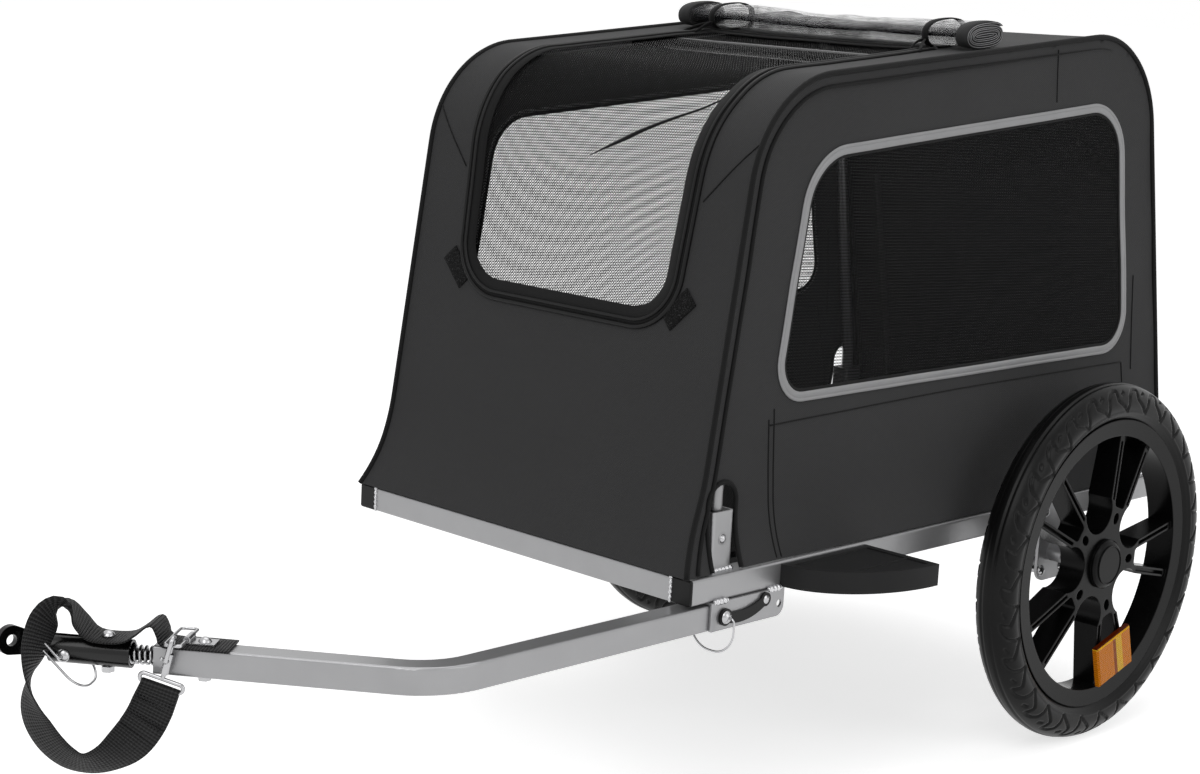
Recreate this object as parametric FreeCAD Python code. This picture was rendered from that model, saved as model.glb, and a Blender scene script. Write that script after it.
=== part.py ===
import FreeCAD, Part
import math
import os

# Two-wheeled pet trailer: a welded square-tube frame, a sewn cabin on two arches,
# moulded wheels and a swinging tow arm with a sprung axle hitch.
# Built with forward along -Y and the trailer's left side along +X.
# While it is built, y runs back from the frame's front faces and z up from the ground.
# All lengths are in millimetres and all angles in degrees.

# Wheels
tyre_radius = 200.0
tyre_section_radius = 23.0
tyre_wall = 4.0
bead_seat_radius = 152.5
bead_clearance = 0.2
rim_half_width = 18.0
rim_edge_half_width = 16.5
rim_flange_height = 9.0
rim_flange_thickness = 2.8
rim_inner_radius = 143.0
rim_well_depth = 4.0
rim_well_half_width = 7.0
rim_well_slope = 3.0
sidewall_mid_share = 0.42
sidewall_bulge_share = 0.76
wheel_stand_off = 54.5
axle_back = 605.0
axle_drop = 60.0

# Moulded spokes, in five pairs
pair_count = 5
pair_phase = -74.0
spoke_width = 9.2
spoke_root_reach = 48.0
spoke_root_spread = 11.0
spoke_rim_spread = 28.5
spoke_inner_half_depth = 15.0
spoke_outer_half_depth = 16.0
spoke_rim_half_depth = 13.0
star_radius = 60.0
web_bottom_radius = 38.0
web_side_reach = 70.0
pair_window_reach = 64.0
pair_window_corner = 5.0
oval_reach = 51.5
oval_half_length = 6.5
oval_half_width = 5.0
channel_width = 4.0
channel_depth = 6.0
channel_start_reach = 70.0
channel_end_reach = 134.0
rim_overlap = 2.0

# Hub, bearings and axle
hub_radius = 26.0
hub_inner_half_length = 20.0
hub_outer_half_length = 18.0
hub_core_radius = 8.5
bearing_radius = 14.0
bearing_width = 8.0
bearing_bore_radius = 6.0
bearing_race = 3.0
bearing_groove = 0.8
axle_running_clearance = 0.05
axle_shoulder_radius = 8.0
axle_end_radius = 8.5
axle_end_length = 2.7
axle_side_clearance = 0.3
cap_radius = 27.5
cap_height = 6.0
cap_crown_radius = 20.0
cap_wall = 2.0
cap_bevel = 2.0
cap_cavity_radius = 12.0

# Spoke reflector
reflector_width = 66.0
reflector_height = 48.0
reflector_depth = 7.0
reflector_rim_gap = 0.4
reflector_bevel = 2.0
reflector_peg_width = 26.0
reflector_peg_height = 20.0
reflector_peg_depth = 12.0

# Frame tubes
tube_size = 25.4
tube_wall = 1.6
tube_corner = 2.5
frame_width = 480.0
frame_length = 840.0
cap_plate = 3.0
cap_insert = 18.0
cap_insert_clearance = 0.15
cap_insert_wall = 2.0
cap_edge = 1.2

# Arches and their sockets
arch_radius = 7.0
arch_wall = 1.2
arch_inset = 24.0
front_foot_back = 55.0
rear_foot_back = 800.0
foot_gap = 4.0
foot_straight = 75.0
foot_bend_radius = 60.0
arch_cover_gap = 0.4
front_bar_share = 0.42
rear_bar_share = 0.82
socket_width = 24.0
socket_length = 29.0
socket_height = 58.0
socket_wall = 2.0
socket_corner = 3.0
socket_window_width = 13.0
socket_window_low = 9.0
socket_window_high = 50.0
plug_clearance = 0.2
plug_tube_clearance = 0.1
button_height = 31.0
button_radius = 4.0
button_clearance = 0.3
button_proud = 2.6
button_flange_radius = 4.5
button_flange = 1.2
button_flange_back = 4.2

# Sewn cabin: outline of the cover in the side view, back from the front and up from the rails
cover_thickness = 2.2
cover_hem_height = 1.0
cover_front_hem = 2.0
cover_front_knee_back = 28.0
cover_front_knee_height = 80.0
cover_front_knee_radius = 220.0
cover_front_top_back = 84.0
cover_front_top_height = 464.0
cover_rear_top_back = 738.0
cover_rear_top_height = 518.0
cover_rear_hem = 846.0
cover_corner_radius = 119.0
cover_side_gap = 0.3
mesh_thickness = 1.0
mesh_edge_gap = 0.3
front_window_half_width = 155.0
front_window_low = 219.0
front_window_corner = 55.0
skylight_end = 425.0
front_panel_end = 205.0
roof_panel_end = 625.0
door_half_width = 178.0
door_low = 20.0
door_high = 392.0
door_corner = 80.0
door_gap = 0.6
side_window_points_back = (122.0, 745.0, 693.0, 159.0)
side_window_points_high = (158.0, 158.0, 437.0, 395.0)
side_window_corners = (36.0, 38.0, 62.0, 62.0)
socket_cutout_margin = 6.0
socket_cutout_height = 86.0
floor_thickness = 6.0
floor_side_gap = 1.0
floor_front = 12.0
floor_rear = 832.0

# Rolled rain cover on the roof
roll_back = 456.0
roll_half_length = 203.0
roll_width = 68.0
roll_height = 28.0
roll_gap = 0.3
roll_core_share = 0.72
roll_lap = 3.0

# Wheel guards
guard_reach = 92.0
guard_length = 134.0
guard_front = 131.0
guard_top_drop = 3.0
guard_height = 22.0
guard_wall = 3.0
guard_rim = 8.0
guard_recess = 1.6
guard_rib_reach = 57.0
guard_rib_width = 3.0
guard_rib_height = 1.4

# Axle brackets
bracket_width = 56.0
bracket_low = 92.0
bracket_high = 4.0
bracket_plate = 3.5
bracket_corner = 14.0
receiver_radius = 11.0
receiver_clearance = 0.15
receiver_inset = 6.0
receiver_reach = 18.0
bolt_radius = 4.0
bolt_spread = 20.0
bolt_low_drop = 80.0
bolt_head_radius = 6.5
bolt_head_height = 4.0
bolt_nut_height = 6.0
bolt_hole_clearance = 0.2

# Tow bracket under the left rail
tow_bracket_front = 28.0
tow_bracket_length = 107.0
tow_bracket_plate = 2.6
tow_bracket_corner = 11.0
arm_clearance = 0.4
lock_pin_back = 47.0
lock_pin_radius = 4.0
lock_pin_clearance = 0.15
lock_pin_head_radius = 6.6
lock_pin_head_height = 4.0
lock_pin_head_gap = 3.2
lock_pin_tail = 5.0
spare_hole_back = 128.0
spare_hole_radius = 3.7
rivet_back = 105.0
rivet_drop = 7.6
rivet_radius = 2.4
rivet_head_radius = 4.4
rivet_head_height = 1.6
lanyard_width = 11.0
lanyard_thickness = 2.4
lanyard_gap = 0.3
lanyard_sag = 6.0
lanyard_eye_wall = 4.2

# Wire bails on the two pins
bail_wire_radius = 1.1
bail_hole_clearance = 0.2
bail_stub = 3.0
bail_end_gap = 0.8
bail_bend_radius = 5.0
bail_bottom_flat = 5.0
lock_bail_drop = 37.0
hitch_bail_drop = 34.0
hitch_bail_tail = 20.0
hitch_bail_loop_width = 5.6
bail_loop_bend_share = 0.46

# Tow arm
arm_size = 25.4
arm_wall = 1.8
arm_corner = 2.5
arm_rear_end = 118.0
arm_bend_front = 303.0
arm_bend_angle = 52.5
arm_bend_radius = 75.0
arm_reach = 247.0

# Sprung hitch, measured forward from the arm's bend
spring_start_inset = 6.0
spring_visible = 22.0
spring_end_inset = 6.0
spring_wire_radius = 1.15
spring_mean_radius = 7.7
spring_turns = 5
spring_end_bend = 2.6
seat_plate = 6.0
seat_clearance = 0.2
link_radius = 3.5
link_tongue = 3.0
link_side_clearance = 0.2
link_ear = 2.6
link_pin_radius = 1.5
link_pin_clearance = 0.08
link_root_reach = 4.2
sleeve_radius = 12.5
sleeve_wall = 3.0
sleeve_length = 73.0
sleeve_spring_bore = 10.2
sleeve_wall_reach = 4.0
slot_end_room = 12.5
tongue_thickness = 6.0
tongue_clearance = 0.3
hitch_pin_inset = 15.0
hitch_pin_drop = 3.0
hitch_pin_radius = 4.0
hitch_pin_clearance = 0.08
hitch_pin_head_radius = 6.0
hitch_pin_head_height = 3.5
hitch_pin_tail = 3.0
tongue_end_radius = 8.5
tongue_length = 25.0
tongue_bend_half_height = 8.0
tongue_bend_rise = 2.0
eye_reach = 30.0
eye_rise = 11.0
eye_radius = 13.0
axle_hole_radius = 5.1

# Strap bolts, ring and snap hook on the arm
strap_width = 38.0
strap_thickness = 2.0
strap_gap = 0.3
strap_bolt_radius = 3.0
strap_bolt_hole_clearance = 0.4
strap_bolt_head_radius = 6.0
strap_bolt_head_height = 4.2
strap_bolt_nut_height = 5.0
arm_bolt_inset = 42.0
sleeve_bolt_inset = 22.0
keeper_length = 21.0
keeper_width = 17.0
keeper_thickness = 1.6
keeper_curl_radius = 3.4
ring_wire_radius = 1.5
ring_length = 15.0
ring_corner = 5.0
ring_clearance = 0.3
hook_inset = 20.0
hook_side = 22.2
hook_lean = 15.0
hook_gap = 9.0
hook_wire_radius = 2.0
hook_bend_radius = 4.4
hook_foot_bend = 3.0
hook_foot_drop = 6.0
hook_top = 26.0
barrel_radius = 3.6
barrel_length = 19.0
barrel_top = 10.0
barrel_bore_clearance = 0.3
barrel_floor = 3.0
gate_radius = 1.6
gate_tip_gap = 0.5
gate_spring_room = 6.0
gate_slot_width = 2.8
gate_knob_radius = 1.1
gate_knob_drop = 4.0
gate_ball_radius = 1.9
swivel_neck_radius = 2.0
swivel_neck_length = 5.0
eye_bar_width = 43.0
eye_bar_height = 11.0
eye_bar_radius = 1.8
eye_bar_corner = 3.6
strap_end_gap = 0.4

# Stations of the webbing loop: reach past the arm's end, side, rise over the arm's middle, twist
strap_stations = (
    (-67.0, 0.0, 14.0, 0.0),
    (-10.0, 0.0, 14.0, 0.0),
    (-5.0, 0.0, 22.0, 0.0),
    (-1.0, 0.0, 31.0, 0.0),
    (5.0, 0.0, 31.0, 0.0),
    (16.0, 0.0, 21.0, 0.0),
    (29.0, 0.0, 14.0, 0.0),
    (57.0, 0.0, 14.0, 0.0),
    (72.0, 3.0, 25.0, 0.0),
    (84.0, 10.0, 38.0, 8.0),
    (94.0, 19.0, 41.0, 20.0),
    (104.0, 30.0, 30.0, 28.0),
    (110.0, 39.0, 12.0, 20.0),
    (112.0, 43.0, -8.0, 0.0),
    (115.0, 42.0, -32.0, -35.0),
    (113.0, 38.0, -57.0, -58.0),
    (103.0, 34.0, -82.0, -68.0),
    (84.0, 30.0, -100.0, -73.0),
    (62.0, 27.0, -107.0, -76.0),
    (37.0, 25.0, -99.0, -80.0),
    (16.0, 23.5, -81.0, -85.0),
    (1.0, 22.5, -58.0, -90.0),
)

# Cutting tools run past the faces that they open by this much
overrun = 5.0

V = FreeCAD.Vector
origin = V(0, 0, 0)
x_axis = V(1, 0, 0)
y_axis = V(0, 1, 0)
z_axis = V(0, 0, 1)

rail_top = tyre_radius + axle_drop
rail_middle = rail_top - tube_size / 2
rail_inner = frame_width / 2 - tube_size
rail_centre = frame_width / 2 - tube_size / 2
wheel_offset = frame_width / 2 + wheel_stand_off
arch_offset = frame_width / 2 - arch_inset
nodes = {}


# Basic forms

def box(low, high):
    size = high.sub(low)
    return Part.makeBox(size.x, size.y, size.z, low)


def rod(start, end, radius):
    along = end.sub(start)
    return Part.makeCylinder(radius, along.Length, start, along)


def face_of(points):
    return Part.Face(Part.makePolygon(list(points) + [points[0]]))


def corner_arc(before, point, after, radius):
    towards = point.sub(before)
    towards.normalize()
    away = after.sub(point)
    away.normalize()
    turn = towards.getAngle(away)
    reach = radius * math.tan(turn / 2)
    inward = away.sub(towards)
    inward.normalize()
    centre = point.add(inward * (radius / math.cos(turn / 2)))
    start = point.sub(towards * reach)
    end = point.add(away * reach)
    return start, centre.sub(inward * radius), end


def line(start, end):
    return Part.LineSegment(start, end).toShape()


def arc(start, middle, end):
    return Part.Arc(start, middle, end).toShape()


# Straight runs joined by tangent arcs, one radius for each inner point
def rounded_path(points, radii):
    edges = []
    last = points[0]
    for i, radius in enumerate(radii):
        start, middle, end = corner_arc(points[i], points[i + 1], points[i + 2], radius)
        edges.append(line(last, start))
        edges.append(arc(start, middle, end))
        last = end
    edges.append(line(last, points[-1]))
    return Part.Wire(edges)


# Closed outline with one corner radius for each point
def rounded_outline(points, radii):
    count = len(points)
    arcs = []
    for i, radius in enumerate(radii):
        arcs.append(corner_arc(points[i - 1], points[i], points[(i + 1) % count], radius))
    edges = []
    for i, (start, middle, end) in enumerate(arcs):
        following = arcs[(i + 1) % count][0]
        edges.append(arc(start, middle, end))
        edges.append(line(end, following))
    return Part.Wire(edges)


def rounded_rectangle(centre, across, up, width, height, radius):
    half_across = across * (width / 2)
    half_up = up * (height / 2)
    points = [
        centre.sub(half_across).sub(half_up),
        centre.add(half_across).sub(half_up),
        centre.add(half_across).add(half_up),
        centre.sub(half_across).add(half_up),
    ]
    return rounded_outline(points, [radius] * len(points))


def sweep(path, section):
    return path.makePipeShell([section], True, False)


def round_bar(points, radii, radius):
    path = rounded_path(points, radii)
    along = points[1].sub(points[0])
    return sweep(path, Part.Wire(Part.makeCircle(radius, points[0], along)))


# Square tube with rounded edges, straight from start to end
def square_tube(start, end, across, up, size, wall, corner):
    outer = rounded_rectangle(start, across, up, size, size, corner)
    inner_size = size - 2 * wall
    inner = rounded_rectangle(start, across, up, inner_size, inner_size, corner - wall / 2)
    return ring_face(outer, inner).extrude(end.sub(start))


def ring_face(outer, inner):
    return Part.makeFace([outer, inner], "Part::FaceMakerBullseye")


def mirrored(shape):
    return shape.mirror(origin, x_axis)


def dome_head(start, direction, radius, height):
    rise = direction * height
    bulge_radius = (radius ** 2 + height ** 2) / (2 * height)
    centre = start.add(rise).sub(direction * bulge_radius)
    ball = Part.makeSphere(bulge_radius, centre)
    return ball.common(rod(start, start.add(rise), radius))


def hex_nut(start, direction, across, radius, height):
    aside = direction.cross(across)
    points = []
    for i in range(6):
        angle = math.radians(60 * i)
        points.append(start.add(across * (radius * math.cos(angle))).add(aside * (radius * math.sin(angle))))
    return face_of(points).extrude(direction * height)


# Frame of welded square tubes

def make_frame():
    bars = {
        "front_crossbar": (tube_size / 2, rail_inner),
        "axle_crossbar": (axle_back, rail_inner - bracket_plate),
        "rear_crossbar": (frame_length - tube_size / 2, rail_inner),
    }
    for name, (back, half) in bars.items():
        low = V(-half, back, rail_middle)
        high = V(half, back, rail_middle)
        nodes[name] = square_tube(low, high, y_axis, z_axis, tube_size, tube_wall, tube_corner)
    start = V(rail_centre, cap_plate, rail_middle)
    end = V(rail_centre, frame_length - cap_plate, rail_middle)
    left = square_tube(start, end, x_axis, z_axis, tube_size, tube_wall, tube_corner)
    for side in (-1, 1):
        at = V(rail_centre, axle_back + side * bolt_spread, rail_middle)
        reach = x_axis * tube_size
        left = left.cut(rod(at.sub(reach), at.add(reach), bolt_radius + bolt_hole_clearance))
    nodes["left_rail"] = left
    nodes["right_rail"] = mirrored(left)
    nodes["rail_end_caps"] = Part.makeCompound(end_caps())


# Moulded plug with a rounded face plate and a hollow insert
def end_cap(start, direction):
    plate = Part.Face(rounded_rectangle(start, x_axis, z_axis, tube_size, tube_size, tube_corner))
    plate = plate.extrude(direction * cap_plate)
    far = [e for e in plate.Edges if abs(e.CenterOfMass.sub(start).dot(direction)) < cap_edge / 10]
    plate = plate.makeChamfer(cap_edge, far)
    insert_size = tube_size - 2 * tube_wall - 2 * cap_insert_clearance
    back = start.add(direction * cap_plate)
    insert = square_tube(
        back, back.add(direction * cap_insert), x_axis, z_axis, insert_size, cap_insert_wall,
        tube_corner - tube_wall / 2)
    return plate.fuse(insert).removeSplitter()


def end_caps():
    caps = []
    for side in (-1, 1):
        caps.append(end_cap(V(side * rail_centre, 0, rail_middle), y_axis))
        caps.append(end_cap(V(side * rail_centre, frame_length, rail_middle), y_axis * -1))
    return caps


# Arches, their sockets, plugs and snap buttons

def offset_line(points, distance):
    moved = []
    normals = []
    for a, b in zip(points[:-1], points[1:]):
        along = b.sub(a)
        along.normalize()
        normals.append(V(0, along.z, -along.y))
    for i, point in enumerate(points):
        before = normals[max(i - 1, 0)]
        after = normals[min(i, len(normals) - 1)]
        mitre = before.add(after)
        mitre.normalize()
        moved.append(point.add(mitre * (distance / mitre.dot(after))))
    return moved


# Corner points of the cover's outline, from the front hem over the roof to the rear hem
def cover_points(x, inset):
    outline = [
        V(x, cover_front_hem, rail_top + cover_hem_height),
        V(x, cover_front_knee_back, rail_top + cover_front_knee_height),
        V(x, cover_front_top_back, rail_top + cover_front_top_height),
        V(x, cover_rear_top_back, rail_top + cover_rear_top_height),
        V(x, cover_rear_hem, rail_top + cover_hem_height),
    ]
    return offset_line(outline, inset)


def cover_radii(inset):
    return [
        cover_front_knee_radius + inset,
        cover_corner_radius - inset,
        cover_corner_radius - inset,
    ]


def arch_points(x):
    inset = cover_thickness + arch_cover_gap + arch_radius
    front_top, rear_top = cover_points(x, inset)[2:4]
    return [
        V(x, front_foot_back, rail_top + foot_gap),
        V(x, front_foot_back, rail_top + foot_straight),
        front_top,
        rear_top,
        V(x, rear_foot_back, rail_top + foot_straight),
        V(x, rear_foot_back, rail_top + foot_gap),
    ]


def arch_bar(x, radius):
    inset = cover_thickness + arch_cover_gap + arch_radius
    corner = cover_corner_radius - inset
    return round_bar(arch_points(x), [foot_bend_radius, corner, corner, foot_bend_radius], radius)


def button_cutter(x, back, side):
    at = V(x, back, rail_top + button_height)
    reach = V(side * socket_width, 0, 0)
    return rod(at, at.add(reach), button_radius + button_clearance)


def make_arches():
    outer = arch_bar(arch_offset, arch_radius)
    arch = outer.cut(arch_bar(arch_offset, arch_radius - arch_wall))
    for back in (front_foot_back, rear_foot_back):
        arch = arch.cut(button_cutter(arch_offset, back, 1))
    nodes["left_arch"] = arch
    nodes["right_arch"] = mirrored(arch)
    nodes["roof_bars"] = Part.makeCompound(roof_bars(outer))


# Cross bars between the arches, coped to the arch tubes at both ends
def roof_bars(left_outer):
    front_top, rear_top = arch_points(arch_offset)[2:4]
    bars = []
    for share in (front_bar_share, rear_bar_share):
        at = front_top.add(rear_top.sub(front_top) * share)
        bar = rod(V(-arch_offset, at.y, at.z), V(arch_offset, at.y, at.z), arch_radius)
        bar = bar.cut(rod(V(-arch_offset, at.y, at.z), V(arch_offset, at.y, at.z), arch_radius - arch_wall))
        bars.append(bar.cut(left_outer).cut(mirrored(left_outer)))
    return bars


# Folded socket: a square sleeve with a window in its front wall and a button hole outside
def socket(back, window_side):
    centre = V(arch_offset, back, rail_top)
    up = z_axis * socket_height
    outer = rounded_rectangle(centre, x_axis, y_axis, socket_width, socket_length, socket_corner)
    inner_width = socket_width - 2 * socket_wall
    inner_length = socket_length - 2 * socket_wall
    inner = rounded_rectangle(
        centre, x_axis, y_axis, inner_width, inner_length, socket_corner - socket_wall / 2)
    sleeve = ring_face(outer, inner).extrude(up)
    near = centre.add(V(-socket_window_width / 2, 0, socket_window_low))
    far = V(arch_offset + socket_window_width / 2, back + window_side * socket_length,
            rail_top + socket_window_high)
    window = box(V(near.x, min(near.y, far.y), near.z), V(far.x, max(near.y, far.y), far.z))
    return sleeve.cut(window).cut(button_cutter(arch_offset, back, 1))


def foot_plug(back):
    centre = V(arch_offset, back, rail_top)
    width = socket_width - 2 * socket_wall - 2 * plug_clearance
    length = socket_length - 2 * socket_wall - 2 * plug_clearance
    outline = rounded_rectangle(
        centre, x_axis, y_axis, width, length, socket_corner - socket_wall / 2)
    plug = Part.Face(outline).extrude(z_axis * socket_height)
    bottom = centre.add(z_axis * foot_gap)
    bore = rod(bottom, bottom.add(z_axis * socket_height), arch_radius + plug_tube_clearance)
    return plug.cut(bore).cut(button_cutter(arch_offset, back, 1))


def snap_button(back):
    height = rail_top + button_height
    flange_x = arch_offset + arch_radius - button_flange_back
    face_x = arch_offset + socket_width / 2
    flange = rod(V(flange_x - button_flange, back, height), V(flange_x, back, height), button_flange_radius)
    stem = rod(V(flange_x, back, height), V(face_x, back, height), button_radius)
    head = dome_head(V(face_x, back, height), x_axis, button_radius, button_proud)
    return flange.fuse(stem).fuse(head).removeSplitter()


def make_sockets():
    sockets = []
    plugs = []
    for end, back, window_side in (("front", front_foot_back, -1), ("rear", rear_foot_back, 1)):
        one_socket = socket(back, window_side)
        one_plug = foot_plug(back)
        button = snap_button(back)
        sockets += [one_socket, mirrored(one_socket)]
        plugs += [one_plug, mirrored(one_plug)]
        nodes[end + "_left_snap_button"] = button
        nodes[end + "_right_snap_button"] = mirrored(button)
    nodes["arch_sockets"] = Part.makeCompound(sockets)
    nodes["arch_foot_plugs"] = Part.makeCompound(plugs)


# Sewn cover

# Sheet that follows the outline across the cabin, between two insets
def cover_sheet(half_width, outer_inset, inner_inset):
    outer = cover_points(-half_width, outer_inset)
    inner = cover_points(-half_width, inner_inset)
    edges = rounded_path(outer, cover_radii(outer_inset)).Edges
    edges += [line(outer[-1], inner[-1])]
    edges += rounded_path(inner, cover_radii(inner_inset)).Edges
    edges += [line(inner[0], outer[0])]
    section = Part.Face(Part.Wire(Part.__sortEdges__(edges)))
    return section.extrude(x_axis * (2 * half_width))


# Opening of the front window, which runs on over the front corner as a skylight
def front_window_cutter(shrink):
    half = front_window_half_width - shrink
    low = rail_top + front_window_low + shrink
    top = rail_top + cover_rear_top_height + overrun
    back = -overrun
    corner = front_window_corner - shrink
    start, middle, end = corner_arc(V(-half, back, top), V(-half, back, low), V(half, back, low), corner)
    edges = [line(V(-half, back, top), start), arc(start, middle, end)]
    last = end
    start, middle, end = corner_arc(V(-half, back, low), V(half, back, low), V(half, back, top), corner)
    edges += [line(last, start), arc(start, middle, end), line(end, V(half, back, top))]
    edges += [line(V(half, back, top), V(-half, back, top))]
    outline = Part.Face(Part.Wire(edges))
    return outline.extrude(y_axis * (skylight_end - shrink - back))


def door_cutter(shrink):
    half = door_half_width - shrink
    low = rail_top + door_low + shrink
    high = rail_top + door_high - shrink
    back = roof_panel_end
    points = [V(-half, back, low), V(half, back, low), V(half, back, high), V(-half, back, high)]
    small = door_gap + shrink
    radii = [small, small, door_corner - shrink, door_corner - shrink]
    reach = cover_rear_hem - back + overrun
    return Part.Face(rounded_outline(points, radii)).extrude(y_axis * reach)


def make_wrap():
    side_inner = arch_offset + arch_radius + arch_cover_gap
    half_width = side_inner - cover_side_gap
    wrap = cover_sheet(half_width, 0, cover_thickness)
    height = rail_top + cover_rear_top_height + overrun
    bounds = {
        "front_panel": (-overrun, front_panel_end),
        "roof_panel": (front_panel_end, roof_panel_end),
        "rear_panel": (roof_panel_end, cover_rear_hem + overrun),
    }
    window = front_window_cutter(0)
    door_hole = door_cutter(0)
    for name, (front, rear) in bounds.items():
        span = box(V(-frame_width, front, 0), V(frame_width, rear, height))
        nodes[name] = wrap.common(span).cut(window).cut(door_hole)
    mesh_inset = (cover_thickness - mesh_thickness) / 2
    mesh = cover_sheet(half_width, mesh_inset, mesh_inset + mesh_thickness)
    nodes["front_mesh"] = mesh.common(front_window_cutter(mesh_edge_gap))
    nodes["rear_door"] = wrap.common(door_cutter(door_gap))


def side_window(x, shrink):
    points = [
        V(x, back, rail_top + high)
        for back, high in zip(side_window_points_back, side_window_points_high)
    ]
    middle_back = sum(side_window_points_back) / len(points)
    middle_high = rail_top + sum(side_window_points_high) / len(points)
    moved = []
    for point in points:
        moved.append(V(x, point.y - math.copysign(shrink, point.y - middle_back),
                       point.z - math.copysign(shrink, point.z - middle_high)))
    return rounded_outline(moved, [radius - shrink for radius in side_window_corners])


# Arch-topped cut-out in the side panel round a socket
def socket_cutout(x, back):
    half = socket_length / 2 + socket_cutout_margin
    low = rail_top - overrun
    shoulder = rail_top + socket_cutout_height - half
    edges = [
        line(V(x, back - half, low), V(x, back - half, shoulder)),
        arc(V(x, back - half, shoulder), V(x, back, shoulder + half), V(x, back + half, shoulder)),
        line(V(x, back + half, shoulder), V(x, back + half, low)),
        line(V(x, back + half, low), V(x, back - half, low)),
    ]
    return Part.Face(Part.Wire(edges))


def make_sides():
    inner = arch_offset + arch_radius + arch_cover_gap
    points = cover_points(inner, 0)
    edges = rounded_path(points, cover_radii(0)).Edges
    edges.append(line(points[-1], points[0]))
    outline = Part.Face(Part.Wire(Part.__sortEdges__(edges)))
    thickness = x_axis * cover_thickness
    panel = outline.extrude(thickness)
    cutter_start = inner - overrun
    cut_depth = x_axis * (cover_thickness + 2 * overrun)
    panel = panel.cut(Part.Face(side_window(cutter_start, 0)).extrude(cut_depth))
    for back in (front_foot_back, rear_foot_back):
        panel = panel.cut(socket_cutout(cutter_start, back).extrude(cut_depth))
    mesh_x = inner + (cover_thickness - mesh_thickness) / 2
    mesh = Part.Face(side_window(mesh_x, mesh_edge_gap)).extrude(x_axis * mesh_thickness)
    nodes["left_side_panel"] = panel
    nodes["right_side_panel"] = mirrored(panel)
    nodes["left_window_mesh"] = mesh
    nodes["right_window_mesh"] = mirrored(mesh)


def make_floor():
    half = arch_offset - socket_width / 2 - floor_side_gap
    nodes["floor_panel"] = box(
        V(-half, floor_front, rail_top), V(half, floor_rear, rail_top + floor_thickness))


# Clear cover rolled into a flat roll that lies along the roof, with its last lap as a step
def make_roll():
    front = V(-roll_half_length, cover_front_top_back, rail_top + cover_front_top_height)
    rear = V(-roll_half_length, cover_rear_top_back, rail_top + cover_rear_top_height)
    along = rear.sub(front)
    along.normalize()
    up = x_axis.cross(along)
    on_roof = front.add(along * ((roll_back - cover_front_top_back) / along.y))
    centre = on_roof.add(up * (roll_gap + roll_height / 2))
    outline = rounded_rectangle(
        centre, along, up, roll_width, roll_height, roll_height / 2 * roll_core_share)
    roll = Part.Face(outline).extrude(x_axis * (2 * roll_half_length))
    low = centre.sub(x_axis * overrun).add(up * (roll_height / 2 - roll_lap))
    outside = low.sub(along * roll_width)
    inside = low.sub(along * (roll_width / 4))
    lap = face_of([outside, inside, inside.add(up * roll_height), outside.add(up * roll_height)])
    nodes["rolled_rain_cover"] = roll.cut(lap.extrude(x_axis * (2 * roll_half_length + 2 * overrun)))


# Wheel guards

def quarter_plate(reach, length, low, high):
    corner = V(frame_width / 2, guard_front + guard_length, low)
    front = corner.sub(y_axis * length)
    side = corner.add(x_axis * reach)
    if length > reach:
        curve = Part.Ellipse(front, side, corner)
    else:
        curve = Part.Ellipse(side, front, corner)
    whole = Part.Face(Part.Wire(curve.toShape())).extrude(z_axis * (high - low))
    quarter = box(front, V(side.x + overrun, corner.y, high))
    return whole.common(quarter)


# Hollow quarter-round plate with a raised rim, a sunk top and one rib
def make_guards():
    top = rail_top - guard_top_drop
    low = top - guard_height
    guard = quarter_plate(guard_reach, guard_length, low, top)
    inner_reach = guard_reach - guard_wall
    inner_length = guard_length - guard_wall
    hollow = quarter_plate(inner_reach, inner_length, low - overrun, top - guard_recess - guard_wall)
    wall_side = V(frame_width / 2 + guard_wall, guard_front, low - overrun)
    wall_back = V(frame_width / 2 + guard_reach, guard_front + guard_length - guard_wall, top)
    guard = guard.cut(hollow.common(box(wall_side, wall_back)))
    sunk_reach = guard_reach - guard_rim
    sunk_length = guard_length - guard_rim
    sunk = quarter_plate(sunk_reach, sunk_length, top - guard_recess, top + overrun)
    rim_side = V(frame_width / 2 + guard_rim, guard_front, top - guard_recess)
    rim_back = V(frame_width / 2 + guard_reach, guard_front + guard_length - guard_rim, top + overrun)
    sunk = sunk.common(box(rim_side, rim_back))
    rib_x = frame_width / 2 + guard_rib_reach
    rib = box(
        V(rib_x - guard_rib_width / 2, guard_front, top - guard_recess - overrun),
        V(rib_x + guard_rib_width / 2, guard_front + guard_length, top - guard_recess + guard_rib_height))
    guard = guard.cut(sunk.cut(rib))
    nodes["left_wheel_guard"] = guard
    nodes["right_wheel_guard"] = mirrored(guard)


# Axle brackets, their bolts and the axles

def bracket_cheek(x):
    low = rail_top - bracket_low
    high = rail_top - bracket_high
    front = axle_back - bracket_width / 2
    rear = axle_back + bracket_width / 2
    points = [V(x, front, low), V(x, rear, low), V(x, rear, high), V(x, front, high)]
    small = bracket_plate
    outline = rounded_outline(points, [bracket_corner, bracket_corner, small, small])
    cheek = Part.Face(outline).extrude(x_axis * bracket_plate)
    for at in bracket_bolt_places():
        start = V(x - overrun, at.y, at.z)
        end = V(x + bracket_plate + overrun, at.y, at.z)
        cheek = cheek.cut(rod(start, end, bolt_radius + bolt_hole_clearance))
    return cheek


def bracket_bolt_places():
    places = []
    for height in (rail_middle, rail_top - bolt_low_drop):
        for side in (-1, 1):
            places.append(V(0, axle_back + side * bolt_spread, height))
    return places


def bracket_bolt(at):
    inner = rail_inner - bracket_plate
    outer = frame_width / 2 + bracket_plate
    shank = rod(V(inner, at.y, at.z), V(outer, at.y, at.z), bolt_radius)
    head = dome_head(V(outer, at.y, at.z), x_axis, bolt_head_radius, bolt_head_height)
    nut = hex_nut(V(inner, at.y, at.z), x_axis * -1, z_axis, bolt_head_radius, bolt_nut_height)
    return shank.fuse(head).fuse(nut).removeSplitter()


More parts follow.
